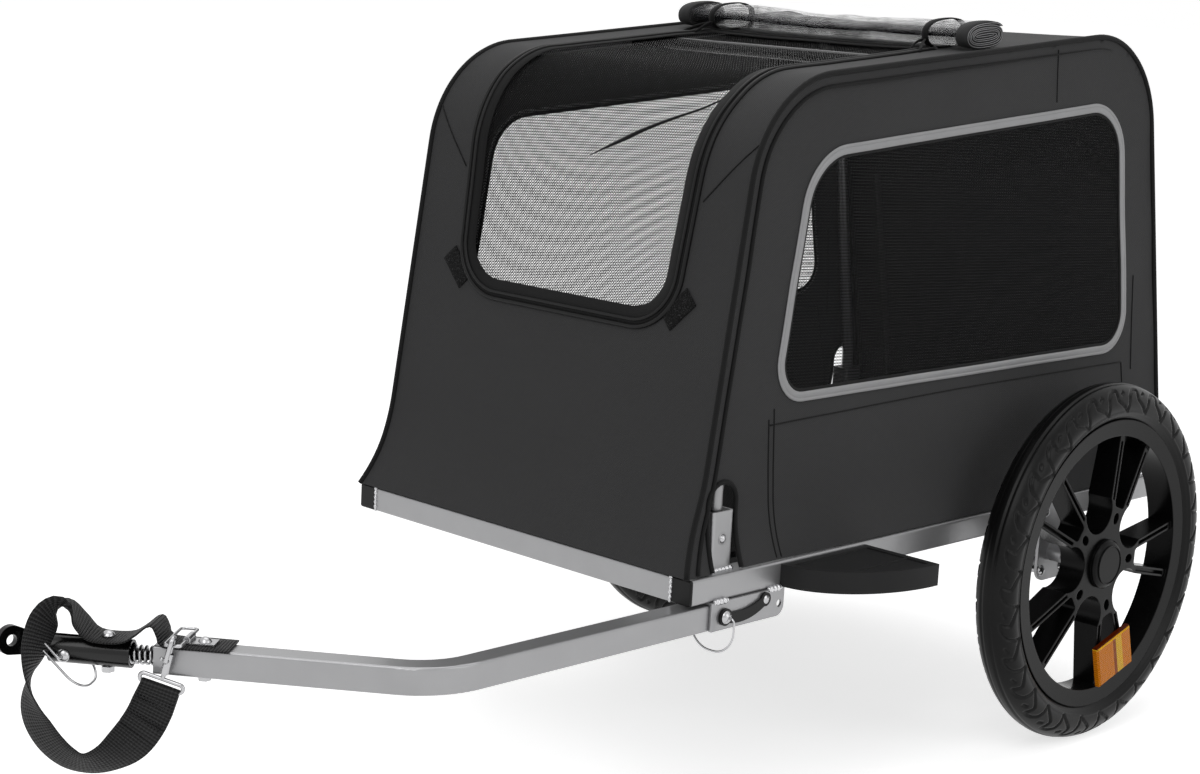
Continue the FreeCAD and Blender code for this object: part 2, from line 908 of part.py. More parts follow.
def make_axle_brackets():
    axle_height = rail_top - axle_drop
    inner = rail_inner - bracket_plate - receiver_inset
    outer = frame_width / 2 + bracket_plate + receiver_reach
    start = V(inner, axle_back, axle_height)
    end = V(outer, axle_back, axle_height)
    receiver = rod(start, end, receiver_radius)
    bracket = receiver.fuse(bracket_cheek(frame_width / 2))
    bracket = bracket.fuse(bracket_cheek(rail_inner - bracket_plate))
    bore_radius = bearing_bore_radius - axle_running_clearance + receiver_clearance
    bore = rod(start.sub(x_axis * overrun), end.add(x_axis * overrun), bore_radius)
    bracket = bracket.cut(bore).removeSplitter()
    nodes["left_axle_bracket"] = bracket
    nodes["right_axle_bracket"] = mirrored(bracket)
    axle_radius = bearing_bore_radius - axle_running_clearance
    shoulder_start = outer
    shoulder_end = wheel_offset - hub_inner_half_length - axle_side_clearance
    collar_start = wheel_offset + hub_outer_half_length + axle_side_clearance
    shank_end = V(collar_start, axle_back, axle_height)
    axle = rod(start, shank_end, axle_radius)
    axle = axle.fuse(rod(V(shoulder_start, axle_back, axle_height),
                         V(shoulder_end, axle_back, axle_height), axle_shoulder_radius))
    axle = axle.fuse(rod(shank_end, shank_end.add(x_axis * axle_end_length), axle_end_radius))
    axle = axle.removeSplitter()
    nodes["left_axle"] = axle
    nodes["right_axle"] = mirrored(axle)


# Wheels, built about the left wheel's middle plane and axle

def wheel_point(radius, across):
    return V(wheel_offset + across, axle_back, rail_top - axle_drop + radius)


def wheel_revolve(edges):
    centre = V(wheel_offset, axle_back, rail_top - axle_drop)
    return Part.Face(Part.Wire(edges)).revolve(centre, x_axis, 360)


def wheel_polygon(pairs):
    points = [wheel_point(radius, across) for radius, across in pairs]
    points.append(points[0])
    return [line(a, b) for a, b in zip(points[:-1], points[1:])]


# One side of the tyre's wall from bead to shoulder, then over the crown to the other side
def tyre_edges(bead_half, section_radius):
    crown_radius = tyre_radius - tyre_section_radius
    bead = bead_seat_radius + bead_clearance
    lip = bead_seat_radius + rim_flange_height + bead_clearance
    mid_radius = lip + (crown_radius - lip) * sidewall_mid_share
    mid_across = bead_half + (section_radius - bead_half) * sidewall_bulge_share
    edges = []
    edges.append(line(wheel_point(bead, bead_half), wheel_point(lip, bead_half)))
    edges.append(arc(wheel_point(lip, bead_half), wheel_point(mid_radius, mid_across),
                     wheel_point(crown_radius, section_radius)))
    edges.append(arc(wheel_point(crown_radius, section_radius),
                     wheel_point(crown_radius + section_radius, 0),
                     wheel_point(crown_radius, -section_radius)))
    edges.append(arc(wheel_point(crown_radius, -section_radius), wheel_point(mid_radius, -mid_across),
                     wheel_point(lip, -bead_half)))
    edges.append(line(wheel_point(lip, -bead_half), wheel_point(bead, -bead_half)))
    return edges


def make_tyre():
    outer_half = rim_half_width - rim_flange_thickness - bead_clearance
    inner_half = outer_half - tyre_wall
    bead = bead_seat_radius + bead_clearance
    edges = tyre_edges(outer_half, tyre_section_radius)
    edges.append(line(wheel_point(bead, -outer_half), wheel_point(bead, -inner_half)))
    edges += tyre_edges(inner_half, tyre_section_radius - tyre_wall)
    edges.append(line(wheel_point(bead, inner_half), wheel_point(bead, outer_half)))
    return wheel_revolve(Part.__sortEdges__(edges))


def rim_ring():
    flange = bead_seat_radius + rim_flange_height
    flange_inner = rim_half_width - rim_flange_thickness
    well = bead_seat_radius - rim_well_depth
    well_top = rim_well_half_width + rim_well_slope
    half = [
        (rim_inner_radius, rim_edge_half_width),
        (flange, rim_half_width),
        (flange, flange_inner),
        (bead_seat_radius, flange_inner),
        (bead_seat_radius, well_top),
        (well, rim_well_half_width),
    ]
    other = [(radius, -across) for radius, across in reversed(half)]
    return wheel_revolve(wheel_polygon(half + other))


def spoke_disc():
    rim = rim_inner_radius + rim_overlap
    return wheel_revolve(wheel_polygon([
        (hub_core_radius, spoke_outer_half_depth),
        (star_radius, spoke_outer_half_depth),
        (rim, spoke_rim_half_depth),
        (rim, -spoke_rim_half_depth),
        (star_radius, -spoke_inner_half_depth),
        (hub_core_radius, -spoke_inner_half_depth),
    ]))


def spoke_spread(reach):
    rim_reach = math.sqrt(rim_inner_radius ** 2 - spoke_rim_spread ** 2)
    share = (reach - spoke_root_reach) / (rim_reach - spoke_root_reach)
    return spoke_root_spread + (spoke_rim_spread - spoke_root_spread) * share


# Reach at which a spoke's edge, a given way from its middle line, meets the rim's inner face
def rim_reach_of_edge(aside):
    reach = rim_inner_radius
    for _ in range(12):
        reach = math.sqrt(rim_inner_radius ** 2 - (spoke_spread(reach) + aside) ** 2)
    return reach


# Point in the wheel's plane: reach along a pair's axis and spread to one side of it
def pair_point(angle, reach, spread, across):
    turn = math.radians(angle)
    y = reach * math.cos(turn) - spread * math.sin(turn)
    z = reach * math.sin(turn) + spread * math.cos(turn)
    return V(wheel_offset + across, axle_back + y, rail_top - axle_drop + z)


def through_wheel(edges):
    return Part.Face(Part.Wire(edges)).extrude(x_axis * (2 * rim_half_width))


def gap_window(angle):
    back = -rim_half_width
    half_step = 180 / pair_count
    half_width = spoke_width / 2
    rim_reach = rim_reach_of_edge(half_width)
    side_spread = spoke_spread(web_side_reach) + half_width
    rim_spread = spoke_spread(rim_reach) + half_width
    right = pair_point(angle - half_step, web_side_reach, side_spread, back)
    right_rim = pair_point(angle - half_step, rim_reach, rim_spread, back)
    left = pair_point(angle + half_step, web_side_reach, -side_spread, back)
    left_rim = pair_point(angle + half_step, rim_reach, -rim_spread, back)
    return through_wheel([
        line(right, right_rim),
        arc(right_rim, pair_point(angle, rim_inner_radius, 0, back), left_rim),
        line(left_rim, left),
        arc(left, pair_point(angle, web_bottom_radius, 0, back), right),
    ])


def pair_window(angle):
    back = -rim_half_width
    half_width = spoke_width / 2
    rim_reach = rim_reach_of_edge(-half_width)
    root = spoke_spread(pair_window_reach) - half_width
    rim = spoke_spread(rim_reach) - half_width
    right_rim = pair_point(angle, rim_reach, -rim, back)
    right = pair_point(angle, pair_window_reach, -root, back)
    left = pair_point(angle, pair_window_reach, root, back)
    left_rim = pair_point(angle, rim_reach, rim, back)
    first = corner_arc(right_rim, right, left, pair_window_corner)
    second = corner_arc(right, left, left_rim, pair_window_corner)
    return through_wheel([
        line(right_rim, first[0]),
        arc(*first),
        line(first[2], second[0]),
        arc(*second),
        line(second[2], left_rim),
        arc(left_rim, pair_point(angle, rim_inner_radius, 0, back), right_rim),
    ])


def oval_window(angle):
    back = -rim_half_width
    centre = pair_point(angle, oval_reach, 0, back)
    tip = pair_point(angle, oval_reach + oval_half_length, 0, back)
    side = pair_point(angle, oval_reach, oval_half_width, back)
    return through_wheel([Part.Ellipse(tip, side, centre).toShape()])


# Sunk channel along a spoke's outer face
def spoke_channel(angle, side):
    floor = spoke_rim_half_depth - channel_depth
    corners = []
    for reach, aside in (
        (channel_start_reach, -channel_width / 2), (channel_end_reach, -channel_width / 2),
        (channel_end_reach, channel_width / 2), (channel_start_reach, channel_width / 2),
    ):
        corners.append(pair_point(angle, reach, side * (spoke_spread(reach) + aside), floor))
    return face_of(corners).extrude(x_axis * rim_half_width)


def make_mag_wheel():
    disc = spoke_disc()
    step = 360 / pair_count
    for i in range(pair_count):
        angle = pair_phase + step * i
        disc = disc.cut(gap_window(angle + step / 2))
        disc = disc.cut(pair_window(angle))
        disc = disc.cut(oval_window(angle))
        for side in (-1, 1):
            disc = disc.cut(spoke_channel(angle, side))
    hub = rod(wheel_point(0, -hub_inner_half_length), wheel_point(0, hub_outer_half_length), hub_radius)
    wheel = disc.fuse(hub).fuse(rim_ring())
    wheel = wheel.cut(rod(wheel_point(0, -hub_inner_half_length - overrun),
                          wheel_point(0, hub_outer_half_length + overrun), hub_core_radius))
    for start, end in bearing_spans():
        wheel = wheel.cut(rod(wheel_point(0, start), wheel_point(0, end), bearing_radius))
    return wheel.removeSplitter()


def bearing_spans():
    return (
        (-hub_inner_half_length, -hub_inner_half_length + bearing_width),
        (hub_outer_half_length - bearing_width, hub_outer_half_length),
    )


# Ball bearing as one ring with the grooves between its races and its shield
def bearing(start, end):
    outer_race = bearing_radius - bearing_race
    inner_race = bearing_bore_radius + bearing_race
    return wheel_revolve(wheel_polygon([
        (bearing_bore_radius, start), (inner_race, start),
        (inner_race, start + bearing_groove), (outer_race, start + bearing_groove),
        (outer_race, start), (bearing_radius, start),
        (bearing_radius, end), (outer_race, end),
        (outer_race, end - bearing_groove), (inner_race, end - bearing_groove),
        (inner_race, end), (bearing_bore_radius, end),
    ]))


def make_hub_cap():
    base = hub_outer_half_length
    top = base + cap_height
    edges = wheel_polygon([
        (cap_radius, base), (cap_radius, top - 2 * cap_bevel),
        (cap_radius - cap_bevel, top - cap_bevel),
        (cap_crown_radius, top), (0, top), (0, top - cap_wall),
        (cap_cavity_radius, top - cap_wall), (cap_cavity_radius, base),
    ])
    return wheel_revolve(edges)


# Bevelled lens that clips between the lowest pair of spokes
def make_reflector():
    back = spoke_outer_half_depth
    half = reflector_width / 2
    high_reach = math.sqrt(rim_inner_radius ** 2 - half ** 2) - reflector_rim_gap
    low_reach = high_reach - reflector_height
    reflector_reach = (low_reach + high_reach) / 2
    corners = [
        pair_point(pair_phase, low_reach, -half, back),
        pair_point(pair_phase, high_reach, -half, back),
        pair_point(pair_phase, high_reach, half, back),
        pair_point(pair_phase, low_reach, half, back),
    ]
    lens = face_of(corners).extrude(x_axis * reflector_depth)
    front = wheel_offset + back + reflector_depth
    rims = [e for e in lens.Edges if abs(e.CenterOfMass.x - front) < reflector_bevel / 10]
    lens = lens.makeChamfer(reflector_bevel, rims)
    peg_back = back - reflector_peg_depth
    peg_low = reflector_reach - reflector_peg_height / 2
    peg_high = reflector_reach + reflector_peg_height / 2
    peg_half = reflector_peg_width / 2
    peg = face_of([
        pair_point(pair_phase, peg_low, -peg_half, peg_back),
        pair_point(pair_phase, peg_high, -peg_half, peg_back),
        pair_point(pair_phase, peg_high, peg_half, peg_back),
        pair_point(pair_phase, peg_low, peg_half, peg_back),
    ]).extrude(x_axis * reflector_peg_depth)
    return lens.fuse(peg).removeSplitter()


def make_wheels():
    bearings = Part.makeCompound([bearing(start, end) for start, end in bearing_spans()])
    pieces = {
        "tyre": make_tyre(),
        "mag_wheel": make_mag_wheel(),
        "bearings": bearings,
        "hub_cap": make_hub_cap(),
        "reflector": make_reflector(),
    }
    for name, shape in pieces.items():
        nodes["left_" + name] = shape
        nodes["right_" + name] = mirrored(shape)


# Tow bracket, lock pin and lanyard under the left rail

arm_top = rail_top - tube_size - tow_bracket_plate - arm_clearance
arm_middle = arm_top - arm_size / 2
tow_bracket_half = arm_size / 2 + arm_clearance + tow_bracket_plate
tow_cheek = rail_centre + tow_bracket_half


def make_tow_bracket():
    top = rail_top - tube_size
    low = arm_top - arm_size
    front = tow_bracket_front
    rear = tow_bracket_front + tow_bracket_length
    start = rail_centre - tow_bracket_half
    small = tow_bracket_plate / 2
    points = [V(start, front, low), V(start, rear, low), V(start, rear, top), V(start, front, top)]
    outline = rounded_outline(points, [small, tow_bracket_corner, small, small])
    bracket = Part.Face(outline).extrude(x_axis * (2 * tow_bracket_half))
    gap_half = arm_size / 2 + arm_clearance
    bracket = bracket.cut(box(
        V(rail_centre - gap_half, front - overrun, low - overrun),
        V(rail_centre + gap_half, rear + overrun, top - tow_bracket_plate)))
    holes = (
        (lock_pin_back, arm_middle, lock_pin_radius + lock_pin_clearance),
        (spare_hole_back, arm_middle, spare_hole_radius),
    )
    for back, height, radius in holes:
        start_point = V(start - overrun, back, height)
        bracket = bracket.cut(rod(start_point, V(tow_cheek + overrun, back, height), radius))
    rivet_at = V(tow_cheek - tow_bracket_plate - overrun, rivet_back, top - rivet_drop)
    rivet_end = V(tow_cheek + overrun, rivet_back, top - rivet_drop)
    nodes["tow_bracket"] = bracket.cut(rod(rivet_at, rivet_end, rivet_radius))


def lanyard_rivet():
    height = rail_top - tube_size - rivet_drop
    inner = V(tow_cheek - tow_bracket_plate, rivet_back, height)
    outer = V(tow_cheek + lanyard_thickness + 2 * lanyard_gap, rivet_back, height)
    head = dome_head(outer, x_axis, rivet_head_radius, rivet_head_height)
    return rod(inner, outer, rivet_radius).fuse(head).removeSplitter()


# Pin with a dome at one end and an axial hole at each end for its wire bail
def bail_pin(tail, head_seat, direction, radius, head_radius, head_height):
    pin = rod(tail, head_seat, radius)
    pin = pin.fuse(dome_head(head_seat, direction, head_radius, head_height)).removeSplitter()
    tip = head_seat.add(direction * head_height)
    hole_radius = bail_wire_radius + bail_hole_clearance
    pin = pin.cut(rod(tail, tail.add(direction * bail_stub), hole_radius))
    return pin.cut(rod(tip.sub(direction * bail_stub), tip, hole_radius))


def make_lock_pin():
    tail = V(rail_centre - tow_bracket_half - lock_pin_tail, lock_pin_back, arm_middle)
    seat = V(tow_cheek + lock_pin_head_gap, lock_pin_back, arm_middle)
    nodes["lock_pin"] = bail_pin(
        tail, seat, x_axis, lock_pin_radius, lock_pin_head_radius, lock_pin_head_height)
    tip = seat.add(x_axis * lock_pin_head_height)
    depth = bail_stub - bail_end_gap
    reach = bail_bend_radius + bail_end_gap
    down = z_axis * -lock_bail_drop
    out_near = tip.add(x_axis * reach)
    out_far = tail.sub(x_axis * reach)
    points = [
        tip.sub(x_axis * depth), out_near, out_near.add(down), out_far.add(down), out_far,
        tail.add(x_axis * depth),
    ]
    bottom = (out_near.sub(out_far).Length - bail_bottom_flat) / 2
    bends = [bail_bend_radius, bottom, bottom, bail_bend_radius]
    nodes["lock_pin_bail"] = round_bar(points, bends, bail_wire_radius)


# Rubber lanyard with an eye at each end, hung from the rivet to the pin's neck
def make_lanyard():
    x = tow_cheek + lanyard_gap
    rivet_at = V(x, rivet_back, rail_top - tube_size - rivet_drop)
    pin_at = V(x, lock_pin_back, arm_middle)
    middle = rivet_at.add(pin_at) * 0.5
    low = middle.sub(z_axis * lanyard_sag)
    half = lanyard_width / 2
    lift = z_axis * half
    edges = [
        arc(pin_at.add(lift), low.add(lift), rivet_at.add(lift)),
        line(rivet_at.add(lift), rivet_at.sub(lift)),
        arc(rivet_at.sub(lift), low.sub(lift), pin_at.sub(lift)),
        line(pin_at.sub(lift), pin_at.add(lift)),
    ]
    thickness = x_axis * lanyard_thickness
    band = Part.Face(Part.Wire(edges)).extrude(thickness)
    eyes = (
        (rivet_at, rivet_radius + lanyard_gap),
        (pin_at, lock_pin_radius + lanyard_gap),
    )
    for at, hole_radius in eyes:
        band = band.fuse(rod(at, at.add(thickness), hole_radius + lanyard_eye_wall))
    for at, hole_radius in eyes:
        start = at.sub(x_axis * overrun)
        band = band.cut(rod(start, at.add(thickness).add(x_axis * overrun), hole_radius))
    nodes["lanyard"] = band.removeSplitter()


# Tow arm and hitch: reach runs forward from the arm's bend, side to the left of it, rise up

hitch_heading = 270 - arm_bend_angle
arm_bend = V(rail_centre, -arm_bend_front, arm_middle)
hitch_forward = V(math.cos(math.radians(hitch_heading)), math.sin(math.radians(hitch_heading)), 0)
hitch_side = z_axis.cross(hitch_forward)


def hitch_point(reach, side, rise):
    return arm_bend.add(hitch_forward * reach).add(hitch_side * side).add(z_axis * rise)


def arm_sweep(size, corner, rear, reach):
    start = V(rail_centre, rear, arm_middle)
    path = rounded_path([start, arm_bend, hitch_point(reach, 0, 0)], [arm_bend_radius])
    return sweep(path, rounded_rectangle(start, x_axis, z_axis, size, size, corner))


def make_tow_arm():
    outer = arm_sweep(arm_size, arm_corner, arm_rear_end, arm_reach)
    inner_size = arm_size - 2 * arm_wall
    inner = arm_sweep(
        inner_size, arm_corner - arm_wall / 2, arm_rear_end + overrun, arm_reach + overrun)
    arm = outer.cut(inner)
    pin_start = V(rail_centre - arm_size, lock_pin_back, arm_middle)
    pin_end = V(rail_centre + arm_size, lock_pin_back, arm_middle)
    arm = arm.cut(rod(pin_start, pin_end, lock_pin_radius + lock_pin_clearance))
    bolt_low = hitch_point(arm_bolt_reach, 0, -arm_size)
    bolt_high = hitch_point(arm_bolt_reach, 0, arm_size)
    nodes["tow_arm"] = arm.cut(rod(bolt_low, bolt_high, strap_bolt_radius + bolt_hole_clearance))


arm_bolt_reach = arm_reach - arm_bolt_inset
hook_reach = arm_reach - hook_inset
spring_start = arm_reach - spring_start_inset
sleeve_start = arm_reach + spring_visible
spring_end = sleeve_start + spring_end_inset
yaw_reach = (arm_reach + sleeve_start) / 2
sleeve_end = sleeve_start + sleeve_length
sleeve_bolt_reach = sleeve_start + sleeve_bolt_inset
hitch_pin_reach = sleeve_end - hitch_pin_inset
tongue_bend_reach = hitch_pin_reach + tongue_length


# Two tangent arcs that join two points with given directions
def biarc(start, start_way, end, end_way):
    chord = end.sub(start)
    ways = start_way.add(end_way)
    open_share = 2 * (1 - start_way.dot(end_way))
    along = chord.dot(ways)
    reach = (-along + math.sqrt(along ** 2 + open_share * chord.dot(chord))) / open_share
    first_tip = start.add(start_way * reach)
    last_tip = end.sub(end_way * reach)
    joint = (first_tip.add(last_tip)) * 0.5
    return [tip_arc(start, first_tip, joint), tip_arc(joint, last_tip, end)]


# Arc from a to b whose end tangents meet at tip
def tip_arc(a, tip, b):
    chord = b.sub(a)
    half_turn_cos = chord.Length / (2 * tip.sub(a).Length)
    foot = a.add(b) * 0.5
    middle = foot.add(tip.sub(foot) * (half_turn_cos / (1 + half_turn_cos)))
    return arc(a, middle, b)


# Visible coil spring: one tube with straight ends square to its two seats
def make_spring():
    lead = 2 * spring_wire_radius
    coil_start = spring_start + lead + spring_end_bend
    coil_end = spring_end - lead - spring_end_bend
    half_turns = 2 * spring_turns
    pitch_rise = (coil_end - coil_start) / half_turns
    rate = pitch_rise / math.pi

    def helix(i):
        angle = math.pi * i
        at = hitch_point(coil_start + pitch_rise * i, spring_mean_radius * math.cos(angle),
                         spring_mean_radius * math.sin(angle))
        way = (hitch_side * (-spring_mean_radius * math.sin(angle))).add(
            z_axis * (spring_mean_radius * math.cos(angle))).add(hitch_forward * rate)
        way.normalize()
        return at, way

    first, first_way = helix(0)
    last, last_way = helix(half_turns)
    foot = hitch_point(spring_start, spring_mean_radius, -spring_end_bend)
    foot_top = foot.add(hitch_forward * lead)
    head = hitch_point(spring_end, spring_mean_radius, spring_end_bend)
    head_low = head.sub(hitch_forward * lead)
    edges = [line(foot, foot_top)]
    edges += biarc(foot_top, hitch_forward, first, first_way)
    for i in range(half_turns):
        start, start_way = helix(i)
        end, end_way = helix(i + 1)
        edges += biarc(start, start_way, end, end_way)
    edges += biarc(last, last_way, head_low, hitch_forward)
    edges.append(line(head_low, head))
    path = Part.Wire(edges)
    print("spring: least gap between turns", round(least_self_gap(path), 2), "mm")
    section = Part.Wire(Part.makeCircle(spring_wire_radius, foot, hitch_forward))
    nodes["hitch_spring"] = sweep(path, section)


# Least distance between stretches of the wire that lie more than half a turn apart
def least_self_gap(path):
    spacing = spring_wire_radius / 2
    points = path.discretize(Distance=spacing)
    apart = int(math.pi * spring_mean_radius / spacing)
    least = path.Length
    for i, point in enumerate(points):
        for other in points[i + apart:]:
            least = min(least, point.distanceToPoint(other))
    return least - 2 * spring_wire_radius


def knuckle(ear_low, ear_high, toward):
    low = hitch_point(yaw_reach, 0, ear_low)
    height = z_axis * (ear_high - ear_low)
    eye = rod(low, low.add(height), link_radius)
    end = yaw_reach + toward * (link_radius + link_root_reach)
    corners = [
        hitch_point(yaw_reach, -link_radius, ear_low), hitch_point(end, -link_radius, ear_low),
        hitch_point(end, link_radius, ear_low), hitch_point(yaw_reach, link_radius, ear_low),
    ]
    return eye.fuse(face_of(corners).extrude(height))


# Plug in the arm's end with the rear half of the hitch's knuckle joint
def make_spring_seat():
    size = arm_size - 2 * arm_wall - 2 * seat_clearance
    start = spring_start - seat_plate
    outline = rounded_rectangle(
        hitch_point(start, 0, 0), hitch_side, z_axis, size, size, arm_corner - arm_wall / 2)
    plug = Part.Face(outline).extrude(hitch_forward * seat_plate)
    stem = rod(hitch_point(start, 0, 0), hitch_point(yaw_reach - link_root_reach, 0, 0), link_radius)
    tongue = knuckle(-link_tongue / 2, link_tongue / 2, -1)
    seat = plug.fuse(stem).fuse(tongue)
    low = hitch_point(yaw_reach, 0, -link_radius)
    high = hitch_point(yaw_reach, 0, link_radius)
    nodes["spring_seat"] = seat.cut(rod(low, high, link_pin_radius + link_pin_clearance)).removeSplitter()


# Sleeve: spring bore and knuckle fork behind, slotted clevis in front
def make_hitch_sleeve():
    end = sleeve_end
    slot_start = hitch_pin_reach - tongue_end_radius - slot_end_room
    wall_start = spring_end
    wall_end = spring_end + sleeve_wall_reach
    sleeve = rod(hitch_point(sleeve_start, 0, 0), hitch_point(end, 0, 0), sleeve_radius)
    sleeve = sleeve.cut(rod(
        hitch_point(sleeve_start, 0, 0), hitch_point(wall_start, 0, 0), sleeve_spring_bore))
    sleeve = sleeve.cut(rod(
        hitch_point(wall_end, 0, 0), hitch_point(end, 0, 0), sleeve_radius - sleeve_wall))
    slot_half = tongue_thickness / 2 + tongue_clearance
    low = -sleeve_radius - overrun
    slot = face_of([
        hitch_point(slot_start, -slot_half, low), hitch_point(end + overrun, -slot_half, low),
        hitch_point(end + overrun, slot_half, low), hitch_point(slot_start, slot_half, low),
    ]).extrude(z_axis * (2 * (sleeve_radius + overrun)))
    sleeve = sleeve.cut(slot)
    ear_start = link_tongue / 2 + link_side_clearance
    fork = knuckle(ear_start, ear_start + link_ear, 1)
    fork = fork.fuse(knuckle(-ear_start - link_ear, -ear_start, 1))
    pin_low = hitch_point(yaw_reach, 0, -ear_start - link_ear)
    pin_high = hitch_point(yaw_reach, 0, ear_start + link_ear)
    fork = fork.fuse(rod(pin_low, pin_high, link_pin_radius))
    root = yaw_reach + link_root_reach
    fork = fork.fuse(rod(hitch_point(root, 0, 0), hitch_point(wall_start, 0, 0), ear_start + link_ear))
    sleeve = sleeve.fuse(fork)
    side_reach = sleeve_radius + overrun
    sleeve = sleeve.cut(rod(
        hitch_point(hitch_pin_reach, -side_reach, -hitch_pin_drop),
        hitch_point(hitch_pin_reach, side_reach, -hitch_pin_drop),
        hitch_pin_radius + hitch_pin_clearance))
    sleeve = sleeve.cut(rod(
        hitch_point(sleeve_bolt_reach, 0, -side_reach),
        hitch_point(sleeve_bolt_reach, 0, side_reach),
        strap_bolt_radius + bolt_hole_clearance))
    nodes["hitch_sleeve"] = sleeve.removeSplitter()


def make_hitch_pin():
    tail = hitch_point(hitch_pin_reach, -sleeve_radius - hitch_pin_tail, -hitch_pin_drop)
    seat = hitch_point(hitch_pin_reach, sleeve_radius + bail_end_gap, -hitch_pin_drop)
    nodes["hitch_pin"] = bail_pin(
        tail, seat, hitch_side, hitch_pin_radius, hitch_pin_head_radius, hitch_pin_head_height)
    tip = seat.add(hitch_side * hitch_pin_head_height)
    depth = bail_stub - bail_end_gap
    reach = bail_bend_radius + bail_end_gap
    up = (hitch_forward.add(z_axis)) * (1 / math.sqrt(2))
    aside = (hitch_forward.sub(z_axis)) * (hitch_bail_loop_width / math.sqrt(2))
    down = up * -hitch_bail_drop
    out_near = tip.add(hitch_side * reach)
    out_far = tail.sub(hitch_side * reach)
    top = out_near.add(up * hitch_bail_tail)
    points = [
        tip.sub(hitch_side * depth), out_near, top, top.add(aside), out_near.add(aside).add(down),
        out_far.add(down), out_far, tail.add(hitch_side * depth),
    ]
    bottom = (out_near.sub(out_far).Length - bail_bottom_flat) / 2
    loop = hitch_bail_loop_width * bail_loop_bend_share
    bends = [bail_bend_radius, loop, loop, bottom, bottom, bail_bend_radius]
    nodes["hitch_pin_bail"] = round_bar(points, bends, bail_wire_radius)


# Outline round two circles of different size, joined by their outer tangents
def lug_edges(first, first_radius, second, second_radius, up):
    gap = second.sub(first)
    distance = gap.Length
    forward = gap * (1 / distance)
    aside = up.sub(forward * forward.dot(up))
    aside.normalize()
    lean = math.asin((first_radius - second_radius) / distance)
    high = (aside * math.cos(lean)).add(forward * math.sin(lean))
    low = (aside * -math.cos(lean)).add(forward * math.sin(lean))
    a_high = first.add(high * first_radius)
    a_low = first.add(low * first_radius)
    b_high = second.add(high * second_radius)
    b_low = second.add(low * second_radius)
    return [
        line(a_high, b_high),
        arc(b_high, second.add(forward * second_radius), b_low),
        line(b_low, a_low),
        arc(a_low, first.sub(forward * first_radius), a_high),
    ]


# Bent plate: a tongue in the clevis, turned at a vertical bend to face across the bicycle's axle
def make_coupler():
    half = tongue_thickness / 2
    pin_at = hitch_point(hitch_pin_reach, -half, -hitch_pin_drop)
    bend_at = hitch_point(tongue_bend_reach, -half, tongue_bend_rise)
    tongue = Part.Face(Part.Wire(lug_edges(
        pin_at, tongue_end_radius, bend_at, tongue_bend_half_height, z_axis)))
    tongue = tongue.extrude(hitch_side * tongue_thickness)
    high = sleeve_radius + eye_radius + eye_rise
    keep = face_of([
        hitch_point(arm_reach, -sleeve_radius, -high),
        hitch_point(tongue_bend_reach, -sleeve_radius, -high),
        hitch_point(tongue_bend_reach, sleeve_radius, -high),
        hitch_point(arm_reach, sleeve_radius, -high),
    ]).extrude(z_axis * (2 * high))
    tongue = tongue.common(keep)
    bend = hitch_point(tongue_bend_reach, 0, tongue_bend_rise)
    eye_forward = y_axis * -1
    start = bend.sub(x_axis * half)
    eye_at = start.add(eye_forward * eye_reach).add(z_axis * (eye_rise - tongue_bend_rise))
    plate = Part.Face(Part.Wire(lug_edges(
        start, tongue_bend_half_height, eye_at, eye_radius, z_axis)))
    plate = plate.extrude(x_axis * tongue_thickness)
    plate = plate.common(box(
        V(bend.x - eye_reach, bend.y - eye_reach - 2 * eye_radius, bend.z - high),
        V(bend.x + eye_reach, bend.y, bend.z + high)))
    post = rod(bend.sub(z_axis * tongue_bend_half_height), bend.add(z_axis * tongue_bend_half_height), half)
    coupler = tongue.fuse(plate).fuse(post)
    hole_start = eye_at.sub(x_axis * overrun)
    hole_end = eye_at.add(x_axis * (tongue_thickness + overrun))
    coupler = coupler.cut(rod(hole_start, hole_end, axle_hole_radius))
    pin_hole = rod(
        hitch_point(hitch_pin_reach, -sleeve_radius, -hitch_pin_drop),
        hitch_point(hitch_pin_reach, sleeve_radius, -hitch_pin_drop),
        hitch_pin_radius + hitch_pin_clearance)
    nodes["axle_coupler"] = coupler.cut(pin_hole).removeSplitter()


# Bolt down through the webbing: dome on top, nut below
def strap_bolt(reach, half_depth, stack):
    top = hitch_point(reach, 0, half_depth + stack)
    low = hitch_point(reach, 0, -half_depth)
    bolt = rod(low, top, strap_bolt_radius)
    bolt = bolt.fuse(dome_head(top, z_axis, strap_bolt_head_radius, strap_bolt_head_height))
    nut = hex_nut(low, z_axis * -1, hitch_forward, strap_bolt_head_radius, strap_bolt_nut_height)
    return bolt.fuse(nut).removeSplitter()


keeper_low = arm_size / 2 + strap_thickness + 2 * strap_gap
curl_rise = keeper_low + keeper_curl_radius
curl_reach = arm_bolt_reach + keeper_length / 2 + keeper_curl_radius


def make_ring_and_keeper():
    low = keeper_low
    half_length = keeper_length / 2
    half_width = keeper_width / 2
    corners = [
        hitch_point(arm_bolt_reach - half_length, -half_width, low),
        hitch_point(curl_reach, -half_width, low),
        hitch_point(curl_reach, half_width, low),
        hitch_point(arm_bolt_reach - half_length, half_width, low),
    ]
    plate = face_of(corners).extrude(z_axis * keeper_thickness)
    curl_start = hitch_point(curl_reach, -half_width, curl_rise)
    curl_end = hitch_point(curl_reach, half_width, curl_rise)
    keeper = plate.fuse(rod(curl_start, curl_end, keeper_curl_radius))
    keeper = keeper.cut(rod(curl_start, curl_end, ring_wire_radius + ring_clearance))
    hole = rod(hitch_point(arm_bolt_reach, 0, 0), hitch_point(arm_bolt_reach, 0, arm_size),
               strap_bolt_radius + bolt_hole_clearance)
    nodes["ring_keeper"] = keeper.cut(hole).removeSplitter()
    nodes["d_ring"] = d_ring(curl_reach, curl_rise)


